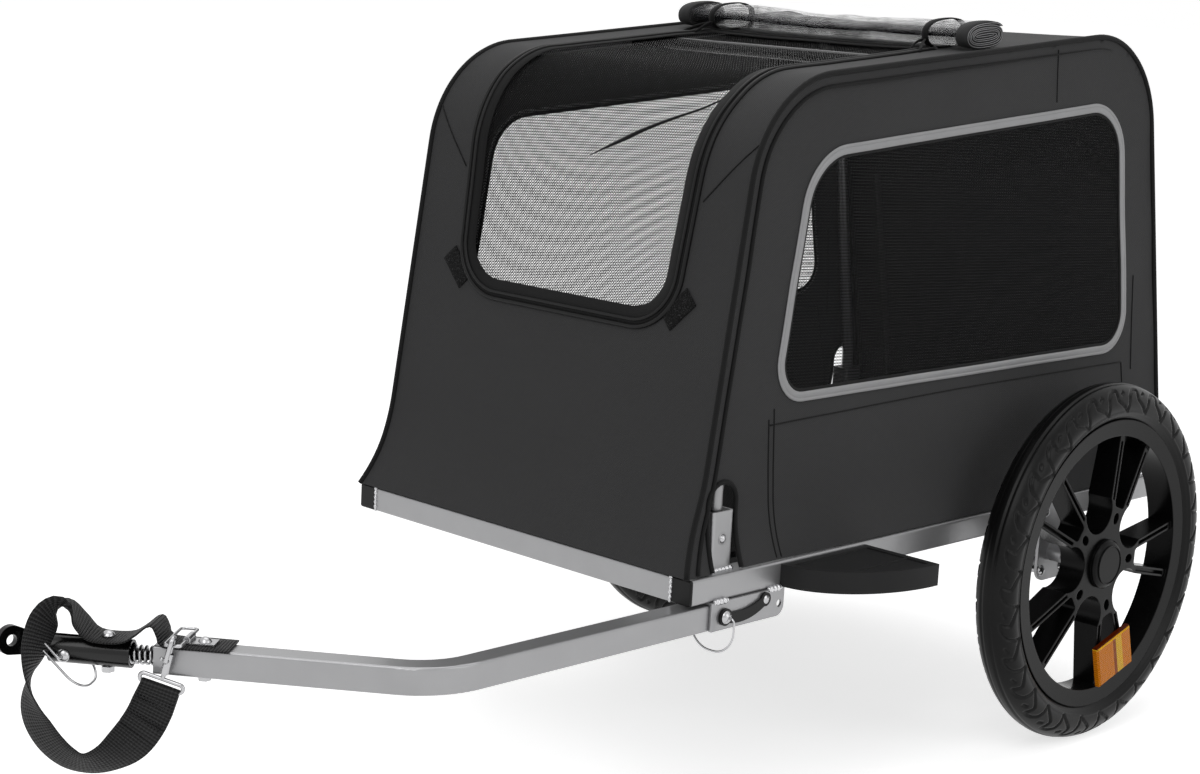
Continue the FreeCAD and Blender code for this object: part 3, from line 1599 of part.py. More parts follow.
def d_ring(reach, rise):
    front = reach + ring_length
    half_width = hook_side + hook_gap / 2
    corners = [
        hitch_point(reach, -half_width, rise), hitch_point(reach, half_width, rise),
        hitch_point(front, half_width, rise), hitch_point(front, -half_width, rise),
    ]
    small = 2 * ring_wire_radius
    path = rounded_outline(corners, [small, small, ring_corner, ring_corner])
    start = path.Edges[0].firstVertex().Point
    way = path.Edges[0].tangentAt(path.Edges[0].FirstParameter)
    return sweep(path, Part.Wire(Part.makeCircle(ring_wire_radius, start, way)))


# The snap hook hangs on the ring's left leg and leans forward below it
def leaned(shape):
    copy = shape.copy()
    copy.rotate(hitch_point(hook_reach, 0, curl_rise), hitch_side, -hook_lean)
    return copy


def hook_point(side, rise):
    return hitch_point(hook_reach, hook_side + side, rise)


# Snap hook: hook, hollow barrel, swivel neck and the flat eye that carries the webbing
def make_snap_hook():
    floor_rise = barrel_top - barrel_length
    barrel = rod(hook_point(0, floor_rise), hook_point(0, barrel_top), barrel_radius)
    bore_low = floor_rise + barrel_floor
    bore = rod(hook_point(0, bore_low), hook_point(0, hook_tip_rise), gate_radius + barrel_bore_clearance)
    foot_rise = barrel_top - hook_foot_drop
    hook = round_bar([
        hook_point(barrel_radius - hook_wire_radius / 2, foot_rise),
        hook_point(hook_gap, foot_rise),
        hook_point(hook_gap, hook_top),
        hook_point(0, hook_top),
        hook_point(0, hook_tip_rise),
    ], [hook_foot_bend, hook_bend_radius, hook_bend_radius], hook_wire_radius)
    neck_rise = floor_rise - swivel_neck_length
    neck = rod(hook_point(0, neck_rise), hook_point(0, floor_rise), swivel_neck_radius)
    slot_depth = hitch_forward * (2 * barrel_radius)
    slot_side = hitch_side * (gate_slot_width / 2)
    slot_at = hook_point(0, bore_low)
    slot = face_of([
        slot_at.sub(slot_side), slot_at.add(slot_side),
        slot_at.add(slot_side).add(slot_depth), slot_at.sub(slot_side).add(slot_depth),
    ]).extrude(z_axis * (barrel_length - 2 * barrel_floor))
    eye_middle = hook_point(0, neck_rise - eye_bar_height / 2 + eye_bar_radius)
    width = eye_bar_width - 2 * eye_bar_radius
    height = eye_bar_height - 2 * eye_bar_radius
    eye_path = rounded_rectangle(eye_middle, hitch_forward, z_axis, width, height, eye_bar_corner)
    eye_start = eye_path.Edges[0].firstVertex().Point
    eye_way = eye_path.Edges[0].tangentAt(eye_path.Edges[0].FirstParameter)
    eye = sweep(eye_path, Part.Wire(Part.makeCircle(eye_bar_radius, eye_start, eye_way)))
    body = barrel.cut(bore).cut(slot).fuse(hook).fuse(neck).fuse(eye)
    nodes["snap_hook"] = leaned(body.removeSplitter())


hook_tip_rise = hook_top - 2 * hook_bend_radius


# Sprung bolt in the hook's barrel, with a thumb knob through the slot
def make_snap_gate():
    low = barrel_top - barrel_length + barrel_floor + gate_spring_room
    high = hook_tip_rise - gate_tip_gap
    bolt = rod(hook_point(0, low), hook_point(0, high), gate_radius)
    knob_rise = barrel_top - gate_knob_drop - barrel_floor
    start = hook_point(0, knob_rise)
    end = start.add(hitch_forward * (barrel_radius + gate_ball_radius))
    gate = bolt.fuse(rod(start, end, gate_knob_radius)).fuse(Part.makeSphere(gate_ball_radius, end))
    nodes["snap_gate"] = leaned(gate.removeSplitter())


# Webbing loop: flat sections set along the stations, ruled from one to the next
def make_strap():
    eye_low = barrel_top - barrel_length - swivel_neck_length - eye_bar_height + 2 * eye_bar_radius
    lean = math.radians(hook_lean)
    drop = curl_rise - eye_low + eye_bar_radius + strap_end_gap
    last = (hook_reach + drop * math.sin(lean), hook_side, curl_rise - drop * math.cos(lean),
            strap_stations[-1][3])
    stations = [(arm_reach + reach, side, rise, twist) for reach, side, rise, twist in strap_stations]
    stations.append(last)
    sections = []
    for i, (reach, side, rise, twist) in enumerate(stations):
        before = stations[max(i - 1, 0)]
        after = stations[min(i + 1, len(stations) - 1)]
        way = V(after[0] - before[0], after[1] - before[1], after[2] - before[2])
        way.normalize()
        outward = V(-way.z, 0, way.x)
        outward.normalize()
        turn = math.radians(twist)
        across = V(0, 1, 0) * math.cos(turn) + outward * math.sin(turn)
        across = across.sub(way * way.dot(across))
        across.normalize()
        through = way.cross(across)
        corners = []
        for a, b in ((-1, -1), (1, -1), (1, 1), (-1, 1)):
            local = V(reach, side, rise).add(across * (a * strap_width / 2))
            local = local.add(through * (b * strap_thickness / 2))
            corners.append(hitch_point(local.x, local.y, local.z))
        sections.append(Part.makePolygon(corners + [corners[0]]))
    strap = Part.makeLoft(sections, True, True)
    for reach in (arm_bolt_reach, sleeve_bolt_reach):
        low = hitch_point(reach, 0, 0)
        high = hitch_point(reach, 0, arm_size)
        strap = strap.cut(rod(low, high, strap_bolt_radius + strap_bolt_hole_clearance))
    nodes["safety_strap"] = strap


def make_fasteners():
    left = [bracket_bolt(at) for at in bracket_bolt_places()]
    stack = strap_thickness + 2 * strap_gap
    arm_bolt = strap_bolt(arm_bolt_reach, arm_size / 2, stack + keeper_thickness)
    bolts = left + [mirrored(bolt) for bolt in left]
    nodes["frame_fasteners"] = Part.makeCompound(bolts + [arm_bolt, lanyard_rivet()])
    nodes["sleeve_bolt"] = strap_bolt(sleeve_bolt_reach, sleeve_radius, stack)


make_frame()
make_arches()
make_sockets()
make_wrap()
make_sides()
make_floor()
make_roll()
make_guards()
make_axle_brackets()
make_wheels()
make_tow_bracket()
make_lock_pin()
make_lanyard()
make_tow_arm()
make_spring()
make_spring_seat()
make_hitch_sleeve()
make_hitch_pin()
make_ring_and_keeper()
make_snap_hook()
make_snap_gate()
make_strap()
make_fasteners()
make_coupler()

# Every node moves together so that the origin lies under the middle of the whole trailer
whole = FreeCAD.BoundBox()
for shape in nodes.values():
    whole.add(shape.optimalBoundingBox())
centring = V(-whole.Center.x, -whole.Center.y, -whole.ZMin)
os.makedirs("parts", exist_ok=True)
for name, shape in nodes.items():
    shape.translate(centring)
    shape.exportStep("parts/" + name + ".step")
print(len(nodes), "nodes,", "size", round(whole.XLength), round(whole.YLength), round(whole.ZLength))
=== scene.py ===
import bisect
import bpy
import math
from mathutils import Matrix, Vector


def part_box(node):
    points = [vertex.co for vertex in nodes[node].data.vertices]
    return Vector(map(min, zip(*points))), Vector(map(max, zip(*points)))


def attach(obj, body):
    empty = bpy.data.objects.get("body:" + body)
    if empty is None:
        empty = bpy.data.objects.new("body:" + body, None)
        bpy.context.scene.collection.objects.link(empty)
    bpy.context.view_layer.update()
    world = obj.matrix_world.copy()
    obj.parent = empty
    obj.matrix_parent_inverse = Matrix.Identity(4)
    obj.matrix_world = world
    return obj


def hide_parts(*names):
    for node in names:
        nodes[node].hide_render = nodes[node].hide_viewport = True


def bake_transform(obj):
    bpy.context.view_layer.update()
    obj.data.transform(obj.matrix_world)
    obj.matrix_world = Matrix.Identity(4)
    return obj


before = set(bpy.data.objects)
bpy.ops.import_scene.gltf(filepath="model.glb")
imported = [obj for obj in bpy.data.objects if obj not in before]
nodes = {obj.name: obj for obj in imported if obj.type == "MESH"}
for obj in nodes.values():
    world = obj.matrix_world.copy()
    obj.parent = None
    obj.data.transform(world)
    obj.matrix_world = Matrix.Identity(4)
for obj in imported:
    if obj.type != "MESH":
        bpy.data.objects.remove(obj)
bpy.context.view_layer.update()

# Places are given in millimetres: x across, y back from the frame's front, z up from the rails' tops
mm = 0.001
railLow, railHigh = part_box("left_rail")
railCapPlate = 3.0
frontY = railLow[1] - railCapPlate * mm
railTop = railHigh[2]
rootBody = "trailer_frame"


def place(x, y, z):
    return Vector((x * mm, frontY + y * mm, railTop + z * mm))


# Shader helpers: an input takes a plain value or a link

def setInput(tree, socket, value):
    if isinstance(value, bpy.types.NodeSocket):
        tree.links.new(value, socket)
    else:
        socket.default_value = value


def newGroup(name, inputs, outputs):
    group = bpy.data.node_groups.new(name, "ShaderNodeTree")
    for label, value in inputs.items():
        socket = group.interface.new_socket(name=label, in_out="INPUT", socket_type="NodeSocketFloat")
        socket.default_value = value
    for label, kind in outputs.items():
        group.interface.new_socket(name=label, in_out="OUTPUT", socket_type=kind)
    return group, group.nodes.new("NodeGroupInput").outputs, group.nodes.new("NodeGroupOutput").inputs


def mathNode(tree, operation, *values):
    node = tree.nodes.new("ShaderNodeMath")
    node.operation = operation
    for socket, value in zip(node.inputs, values):
        setInput(tree, socket, value)
    return node.outputs[0]


def sineWave(tree, value, pace):
    return mathNode(tree, "SINE", mathNode(tree, "MULTIPLY", value, pace))


def noiseNode(tree, vector, scale, detail):
    node = tree.nodes.new("ShaderNodeTexNoise")
    node.inputs["Detail"].default_value = detail
    setInput(tree, node.inputs["Scale"], scale)
    tree.links.new(vector, node.inputs["Vector"])
    return node.outputs["Fac"]


def mixColour(tree, factor, first, second):
    node = tree.nodes.new("ShaderNodeMix")
    node.data_type = "RGBA"
    for number, value in ((0, factor), (6, first), (7, second)):
        setInput(tree, node.inputs[number], value)
    return node.outputs[2]


def separate(tree, vector):
    node = tree.nodes.new("ShaderNodeSeparateXYZ")
    tree.links.new(vector, node.inputs[0])
    return node.outputs


def bumpNode(tree, height, strength, distance, normal=None):
    node = tree.nodes.new("ShaderNodeBump")
    node.inputs["Distance"].default_value = distance
    setInput(tree, node.inputs["Strength"], strength)
    tree.links.new(height, node.inputs["Height"])
    if normal is not None:
        tree.links.new(normal, node.inputs["Normal"])
    return node.outputs["Normal"]


def objectVector(tree):
    return tree.nodes.new("ShaderNodeTexCoord").outputs["Object"]


# Plain weave: fine threads both ways and soft creases, with the colour darker in the creases' hollows and lighter
# on their crests as painted shade, under a finer random tone
clothLook = {"lean": 0.35, "thread": 0.05, "broadScale": 9.0, "fineScale": 140.0, "fineShare": 0.35,
             "strength": 0.5, "depth": 0.006}


def makeWeaveGroup():
    group, given, out = newGroup("weaveCloth", {"Threads": 900.0, "Crease": 0.3},
                                 {"Shade": "NodeSocketFloat", "Normal": "NodeSocketVector"})
    vector = objectVector(group)
    x, y, z = separate(group, vector)
    level = mathNode(group, "MULTIPLY_ADD", y, clothLook["lean"], z)
    along = mathNode(group, "ADD", x, y)
    threads = mathNode(group, "MULTIPLY", sineWave(group, level, given["Threads"]),
                       sineWave(group, along, given["Threads"]))
    broad = noiseNode(group, vector, clothLook["broadScale"], detail=3.0)
    fine = noiseNode(group, vector, clothLook["fineScale"], detail=2.0)
    crease = mathNode(group, "MULTIPLY", broad, given["Crease"])
    height = mathNode(group, "MULTIPLY_ADD", threads, clothLook["thread"], crease)
    # Painted shade: the colour follows the broad crease noise, darker in the hollows and lighter on the crests
    creaseShade = mathNode(group, "MULTIPLY", broad, 1 - clothLook["fineShare"])
    group.links.new(mathNode(group, "MULTIPLY_ADD", fine, clothLook["fineShare"], creaseShade), out["Shade"])
    group.links.new(bumpNode(group, height, clothLook["strength"], clothLook["depth"]), out["Normal"])
    return group


# Open mesh: staggered holes and level ribs, as a cover that is 1 on the threads
netLook = {"lean": 0.98, "tilt": 0.05}


def makeHoleGroup():
    group, given, out = newGroup(
        "meshHoles", {"Rows": 2400.0, "Columns": 2400.0, "Ribs": 0.0, "Contrast": 1.0, "Cover": 0.4},
        {"Threads": "NodeSocketFloat"})
    x, y, z = separate(group, objectVector(group))
    along = mathNode(group, "MULTIPLY_ADD", y, netLook["lean"], x)
    level = mathNode(group, "MULTIPLY_ADD", y, netLook["tilt"], z)
    upright = sineWave(group, along, given["Columns"])
    flat = sineWave(group, level, given["Rows"])
    wave = mathNode(group, "MULTIPLY_ADD", flat, given["Ribs"], mathNode(group, "MULTIPLY", upright, flat))
    cover = mathNode(group, "MULTIPLY_ADD", wave, given["Contrast"], given["Cover"])
    atLeastNone = mathNode(group, "MAXIMUM", cover, 0.0)
    group.links.new(mathNode(group, "MINIMUM", atLeastNone, 1.0), out["Threads"])
    return group


# Moulded or sprayed grain as a soft bump, with edges that look rounded by a small radius
grainLook = {"depth": 0.0006, "shadeScale": 30.0}


def makeGrainGroup():
    group, given, out = newGroup("fineGrain", {"Scale": 900.0, "Strength": 0.2, "Edge": 0.0},
                                 {"Shade": "NodeSocketFloat", "Normal": "NodeSocketVector"})
    vector = objectVector(group)
    edges = group.nodes.new("ShaderNodeBevel")
    group.links.new(given["Edge"], edges.inputs["Radius"])
    speck = noiseNode(group, vector, given["Scale"], detail=3.0)
    normal = bumpNode(group, speck, given["Strength"], grainLook["depth"], edges.outputs["Normal"])
    group.links.new(noiseNode(group, vector, grainLook["shadeScale"], detail=2.0), out["Shade"])
    group.links.new(normal, out["Normal"])
    return group


weaveGroup = makeWeaveGroup()
holeGroup = makeHoleGroup()
grainGroup = makeGrainGroup()


def newMaterial(name):
    material = bpy.data.materials.new(name)
    material.use_nodes = True
    return material, material.node_tree, material.node_tree.nodes["Principled BSDF"]


shaderInputs = {"colour": "Base Color", "metallic": "Metallic", "roughness": "Roughness", "coat": "Coat Weight",
                "gloss": "Specular IOR Level", "sheen": "Sheen Weight", "sheenRoughness": "Sheen Roughness",
                "glow": "Emission Color"}
blueShare = 1.02  # greys are a little cool


def setShader(shader, **values):
    for label, value in values.items():
        shader.inputs[shaderInputs[label]].default_value = value


def addGroup(tree, group, **values):
    node = tree.nodes.new("ShaderNodeGroup")
    node.node_tree = group
    for label, value in values.items():
        node.inputs[label].default_value = value
    return node.outputs


def grey(value):
    return (value, value, value * blueShare, 1.0)


def clothMaterial(name, dark, light, threads, crease, sheen):
    material, tree, shader = newMaterial(name)
    cloth = addGroup(tree, weaveGroup, Threads=threads, Crease=crease)
    tree.links.new(mixColour(tree, cloth["Shade"], grey(dark), grey(light)), shader.inputs["Base Color"])
    tree.links.new(cloth["Normal"], shader.inputs["Normal"])
    setShader(shader, roughness=0.7, gloss=0.14, sheen=sheen, sheenRoughness=0.5)
    return material


def grainMaterial(name, dark, light, roughness, scale, bump, metallic=0.0, coat=0.0, gloss=0.5, edge=0.0):
    material, tree, shader = newMaterial(name)
    surface = addGroup(tree, grainGroup, Scale=scale, Strength=bump, Edge=edge)
    tree.links.new(mixColour(tree, surface["Shade"], grey(dark), grey(light)), shader.inputs["Base Color"])
    tree.links.new(surface["Normal"], shader.inputs["Normal"])
    setShader(shader, metallic=metallic, roughness=roughness, coat=coat, gloss=gloss)
    return material


def meshMaterial(name, thread, rows, columns, ribs, contrast, cover):
    material, tree, shader = newMaterial(name)
    net = addGroup(tree, holeGroup, Rows=rows, Columns=columns, Ribs=ribs, Contrast=contrast, Cover=cover)
    setShader(shader, colour=grey(thread), roughness=0.6, gloss=0.08)
    tree.links.new(net["Threads"], shader.inputs["Alpha"])
    return material


# Clear vinyl: thin and see-through, bright where its creases turn away
filmLook = {"colour": (0.05, 0.05, 0.055, 1.0), "creaseScale": 24.0, "creaseDepth": 0.02, "blend": 0.35,
            "edgePower": 3.0, "edgeCover": 0.5, "cover": 0.1}


def filmMaterial():
    material, tree, shader = newMaterial("clearFilm")
    crease = noiseNode(tree, objectVector(tree), filmLook["creaseScale"], detail=2.0)
    normal = bumpNode(tree, crease, 1.0, filmLook["creaseDepth"])
    tree.links.new(normal, shader.inputs["Normal"])
    weight = tree.nodes.new("ShaderNodeLayerWeight")
    weight.inputs["Blend"].default_value = filmLook["blend"]
    tree.links.new(normal, weight.inputs["Normal"])
    edge = mathNode(tree, "POWER", weight.outputs["Facing"], filmLook["edgePower"])
    cover = mathNode(tree, "MULTIPLY_ADD", edge, filmLook["edgeCover"], filmLook["cover"])
    tree.links.new(cover, shader.inputs["Alpha"])
    setShader(shader, colour=filmLook["colour"], roughness=0.06, gloss=0.6)
    return material


# Amber lens: small prisms, a brighter upright stripe past the middle and a dark band beside it
lensLook = {"prismPace": 2300.0, "prismStrength": 0.7, "prismDepth": 0.0012, "stripeAt": 0.0085,
            "stripeHalf": 0.0058, "bandHalf": 0.0027, "rimHighlightWidth": 0.0028, "topShadeWidth": 0.0010,
            "amber": ((0.62, 0.13, 0.0, 1.0), (1.0, 0.36, 0.01, 1.0)), "band": (0.34, 0.07, 0.0, 1.0),
            "stripe": ((0.9, 0.36, 0.0, 1.0), (1.0, 0.72, 0.05, 1.0)),
            "rim": (1.0, 0.5, 0.01, 1.0), "top": (0.10, 0.012, 0.0, 1.0)}


def withinBand(tree, value, middle, half):
    off = mathNode(tree, "ABSOLUTE", mathNode(tree, "SUBTRACT", value, middle))
    return mathNode(tree, "LESS_THAN", off, half)


def lensMaterial():
    material, tree, shader = newMaterial("amberLens")
    low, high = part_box("left_reflector")
    tyreLow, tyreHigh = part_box("left_tyre")
    middle = (low + high) / 2
    outward = (middle - (tyreLow + tyreHigh) / 2).yz.normalized()
    _, y, z = separate(tree, objectVector(tree))
    fromMiddle = [mathNode(tree, "SUBTRACT", y, middle.y), mathNode(tree, "SUBTRACT", z, middle.z)]
    across = mathNode(tree, "ADD", mathNode(tree, "MULTIPLY", fromMiddle[0], -outward.y),
                      mathNode(tree, "MULTIPLY", fromMiddle[1], outward.x))
    along = mathNode(tree, "ADD", mathNode(tree, "MULTIPLY", y, outward.x),
                     mathNode(tree, "MULTIPLY", z, outward.y))
    prism = mathNode(tree, "MULTIPLY", sineWave(tree, across, lensLook["prismPace"]),
                     sineWave(tree, along, lensLook["prismPace"]))
    normal = bumpNode(tree, prism, lensLook["prismStrength"], lensLook["prismDepth"])
    tree.links.new(normal, shader.inputs["Normal"])
    # The prisms are painted lighter on their crests and darker between them, in the amber and in the stripe, as
    # painted highlight and shade
    lit = mathNode(tree, "MULTIPLY_ADD", prism, 0.5, 0.5)
    amber = mixColour(tree, lit, *lensLook["amber"])
    banded = mixColour(tree, withinBand(tree, across, 0.0, lensLook["bandHalf"]), amber, lensLook["band"])
    bright = mixColour(tree, lit, *lensLook["stripe"])
    face = mixColour(tree, withinBand(tree, across, lensLook["stripeAt"], lensLook["stripeHalf"]), banded, bright)
    # Along the inner edge a bright yellow strip is a painted highlight, and a thinner dark strip at the very edge
    # is painted shade on the top face
    corners = [corner.co for corner in nodes["left_reflector"].data.vertices]
    edge = min(corner.y * outward.x + corner.z * outward.y for corner in corners)
    rim = mixColour(tree, mathNode(tree, "LESS_THAN", along, edge + lensLook["rimHighlightWidth"]), face, lensLook["rim"])
    top = mixColour(tree, mathNode(tree, "LESS_THAN", along, edge + lensLook["topShadeWidth"]), rim, lensLook["top"])
    tree.links.new(top, shader.inputs["Base Color"])
    setShader(shader, roughness=0.2, gloss=0.08)
    return material


# Webbing: ribs along its length, which its own coordinates carry
webbingLook = {"ribPace": 2200.0, "crossPace": 1900.0, "ribShare": 0.7, "strength": 0.8, "depth": 0.0012,
               "contrast": 0.6, "threshold": 0.4, "dark": 0.001, "light": 0.042}


def webbingMaterial():
    material, tree, shader = newMaterial("webbing")
    u, v, _ = separate(tree, tree.nodes.new("ShaderNodeTexCoord").outputs["UV"])
    cross = mathNode(tree, "MULTIPLY", sineWave(tree, u, webbingLook["crossPace"]), 1 - webbingLook["ribShare"])
    ribs = sineWave(tree, v, webbingLook["ribPace"])
    height = mathNode(tree, "MULTIPLY_ADD", ribs, webbingLook["ribShare"], cross)
    normal = bumpNode(tree, height, webbingLook["strength"], webbingLook["depth"])
    tree.links.new(normal, shader.inputs["Normal"])
    # The ribs are painted lighter and the hollows between them darker, as painted highlight and shade
    lit = mathNode(tree, "MULTIPLY_ADD", height, webbingLook["contrast"], webbingLook["threshold"])
    colour = mixColour(tree, lit, grey(webbingLook["dark"]), grey(webbingLook["light"]))
    tree.links.new(colour, shader.inputs["Base Color"])
    setShader(shader, roughness=0.55, gloss=0.2)
    return material


# Loop tape: dark pile with pale specks
loopLook = {"speckScale": 900.0, "contrast": 5.0, "threshold": -2.7, "strength": 0.5, "depth": 0.0008,
            "dark": 0.003, "light": 0.05}


def loopMaterial():
    material, tree, shader = newMaterial("loopTape")
    speck = noiseNode(tree, objectVector(tree), loopLook["speckScale"], detail=1.0)
    lit = mathNode(tree, "MULTIPLY_ADD", speck, loopLook["contrast"], loopLook["threshold"])
    colour = mixColour(tree, lit, grey(loopLook["dark"]), grey(loopLook["light"]))
    tree.links.new(colour, shader.inputs["Base Color"])
    tree.links.new(bumpNode(tree, speck, loopLook["strength"], loopLook["depth"]), shader.inputs["Normal"])
    setShader(shader, roughness=0.9, gloss=0.15)
    return material


materials = {
    "cover": clothMaterial("coverCloth", 0.033, 0.042, threads=2600.0, crease=0.22, sheen=0.04),
    "binding": clothMaterial("bindingTape", 0.005, 0.009, threads=3200.0, crease=0.05, sheen=0.03),
    "lining": clothMaterial("floorCloth", 0.006, 0.010, threads=1800.0, crease=0.1, sheen=0.02),
    "stitch": clothMaterial("stitchThread", 0.03, 0.06, threads=3200.0, crease=0.05, sheen=0.0),
    "mesh": meshMaterial("frontNet", 0.003, rows=1900.0, columns=1900.0, ribs=0.0, contrast=1.5, cover=0.36),
    "sideMesh": meshMaterial("sideNet", 0.016, rows=2000.0, columns=1500.0, ribs=0.8, contrast=0.42, cover=0.42),
    "film": filmMaterial(),
    "lens": lensMaterial(),
    "webbing": webbingMaterial(),
    "loopTape": loopMaterial(),
    "trim": grainMaterial("reflectiveTrim", 0.28, 0.34, roughness=0.5, scale=1500.0, bump=0.25),
    "silver": grainMaterial("silverPaint", 0.30, 0.34, roughness=0.36, scale=700.0, bump=0.12, metallic=0.75,
                            coat=0.15, edge=0.001),
    # Arch tubes: the silver paint made a little darker, as painted shade
    "shadedSilverTube": grainMaterial("shadedSilverTube", 0.26, 0.30, roughness=0.36, scale=700.0, bump=0.12, metallic=0.75,
                              coat=0.1),
    "zinc": grainMaterial("zincSteel", 0.40, 0.48, roughness=0.24, scale=500.0, bump=0.12, metallic=0.95,
                          edge=0.0004),
    "weld": grainMaterial("weldMetal", 0.42, 0.72, roughness=0.24, scale=420.0, bump=0.7, metallic=0.85),
    "blackMetal": grainMaterial("blackCoat", 0.002, 0.004, roughness=0.2, scale=800.0, bump=0.08, gloss=0.35,
                                edge=0.0008),
    "nylon": grainMaterial("blackNylon", 0.005, 0.008, roughness=0.4, scale=900.0, bump=0.2, gloss=0.18,
                           edge=0.0008),
    "wheel": grainMaterial("wheelNylon", 0.002, 0.004, roughness=0.22, scale=700.0, bump=0.12, gloss=0.1,
                           edge=0.0016),
    "guard": grainMaterial("guardNylon", 0.018, 0.024, roughness=0.5, scale=900.0, bump=0.12, gloss=0.1,
                           edge=0.0012),
    "tyre": grainMaterial("tyreRubber", 0.002, 0.004, roughness=0.32, scale=500.0, bump=0.15, gloss=0.15),
    "rubber": grainMaterial("softRubber", 0.002, 0.004, roughness=0.4, scale=600.0, bump=0.2, gloss=0.2),
}

# Finishes of the frame's own pieces: zinc where nothing else is said
nodeFinishes = {
    "silver": ["left_rail", "right_rail", "front_crossbar", "rear_crossbar", "axle_crossbar", "arch_sockets",
               "tow_bracket", "tow_arm", "left_axle_bracket", "right_axle_bracket"],
    "nylon": ["rail_end_caps", "arch_foot_plugs"],
    "guard": ["left_wheel_guard", "right_wheel_guard"],
    "wheel": ["left_mag_wheel", "right_mag_wheel", "left_hub_cap", "right_hub_cap"],
    "tyre": ["left_tyre", "right_tyre"],
    "lens": ["left_reflector", "right_reflector"],
    "blackMetal": ["hitch_sleeve", "axle_coupler", "spring_seat", "roof_bars"],
    "shadedSilverTube": ["left_arch", "right_arch"],
    "rubber": ["lanyard"],
    "lining": ["floor_panel"],
}
finishOf = {name: finish for finish, names in nodeFinishes.items() for name in names}


def setMaterial(piece, material):
    piece.data.materials.clear()
    piece.data.materials.append(material)


for name, node in nodes.items():
    setMaterial(node, materials[finishOf.get(name, "zinc")])
print("materials set")


# Both sides of the trailer: the left lies at plus x
bothSides = (("left", 1), ("right", -1))


# Building pieces

def newPiece(name, points, faces, material, body):
    mesh = bpy.data.meshes.new(name)
    mesh.from_pydata([tuple(point) for point in points], [], faces)
    mesh.update()
    piece = bpy.data.objects.new(name, mesh)
    bpy.context.scene.collection.objects.link(piece)
    setMaterial(piece, materials[material])
    mesh.polygons.foreach_set("use_smooth", [True] * len(mesh.polygons))
    if body:
        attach(piece, body)
    return piece


def cornerArc(before, point, after, radius, step):
    towards = (point - before).normalized()
    away = (after - point).normalized()
    turn = towards.angle(away)
    if turn < 0.001 or radius <= 0:
        return [point]
    reach = radius * math.tan(turn / 2)
    inward = (away - towards).normalized()
    centre = point + inward * (radius / math.cos(turn / 2))
    count = max(3, int(radius * turn / step))
    first = point - towards * reach - centre
    last = point + away * reach - centre
    found = []
    for i in range(count + 1):
        share = i / count
        mixed = first * math.sin((1 - share) * turn) + last * math.sin(share * turn)
        found.append(centre + mixed / math.sin(turn))
    return found


def fillLine(points, step):
    found = [points[0]]
    for a, b in zip(points[:-1], points[1:]):
        count = max(1, int(round((b - a).length / step)))
        for i in range(count):
            found.append(a.lerp(b, (i + 1) / count))
    return found


def openOutline(points, radii, step):
    path = [points[0]]
    for i, radius in enumerate(radii):
        path += cornerArc(points[i], points[i + 1], points[i + 2], radius, step)
    path.append(points[-1])
    return fillLine(path, step)


def closedOutline(points, radii, step):
    path = []
    count = len(points)
    for i, radius in enumerate(radii):
        path += cornerArc(points[i - 1], points[i], points[(i + 1) % count], radius, step)
    return fillLine(path + [path[0]], step)[:-1]


def tubeFrames(path, closed):
    count = len(path)
    ways = []
    for i in range(count):
        if closed:
            way = path[(i + 1) % count] - path[i - 1]
        else:
            way = path[min(i + 1, count - 1)] - path[max(i - 1, 0)]
        ways.append(way.normalized())
    side = ways[0].orthogonal().normalized()
    frames = []
    for way in ways:
        side = (side - way * side.dot(way)).normalized()
        frames.append((side, way.cross(side)))
    return frames


# Four-sided faces between rings of points that follow each other along a path
def ringFaces(count, size, closed):
    faces = []
    for i in range(count if closed else count - 1):
        after = (i + 1) % count
        for k in range(size):
            n = (k + 1) % size
            faces.append((i * size + k, i * size + n, after * size + n, after * size + k))
    return faces


# Round tube along a path in metres, with one radius or one for each point
def tube(name, path, radius, material, body, closed=False, sides=10, flat=1.0):
    points = []
    frames = tubeFrames(path, closed)
    radii = radius if isinstance(radius, list) else [radius] * len(path)
    turns = [2 * math.pi * k / sides for k in range(sides)]
    for at, size, (side, up) in zip(path, radii, frames):
        for turn in turns:
            points.append(at + side * (size * math.cos(turn)) + up * (size * flat * math.sin(turn)))
    count = len(path)
    faces = ringFaces(count, sides, closed)
    if not closed:
        faces.append(tuple(reversed(range(sides))))
        faces.append(tuple((count - 1) * sides + k for k in range(sides)))
    return newPiece(name, points, faces, material, body)


# Sections of a tape, in shares of its width and thickness
flatTape = ((-0.5, 0.0), (-0.5, 1.0), (0.0, 1.3), (0.5, 1.0), (0.5, 0.0))
grooveTape = ((-0.5, 0.0), (-0.48, 0.9), (-0.2, 1.1), (-0.15, 0.5), (-0.1, 1.1), (0.3, 1.1), (0.48, 0.9),
              (0.5, 0.0))


# Flat band along a path: across is the width direction at each point, out the face's normal
def band(name, path, across, out, width, thickness, material, body, closed=False, ring=flatTape):
    points = []
    for at, side, up in zip(path, across, out):
        for share, level in ring:
            points.append(at + side * (share * width) + up * (level * thickness))
    faces = [(a, d, c, b) for a, b, c, d in ringFaces(len(path), len(ring), closed)]
    return newPiece(name, points, faces, material, body)


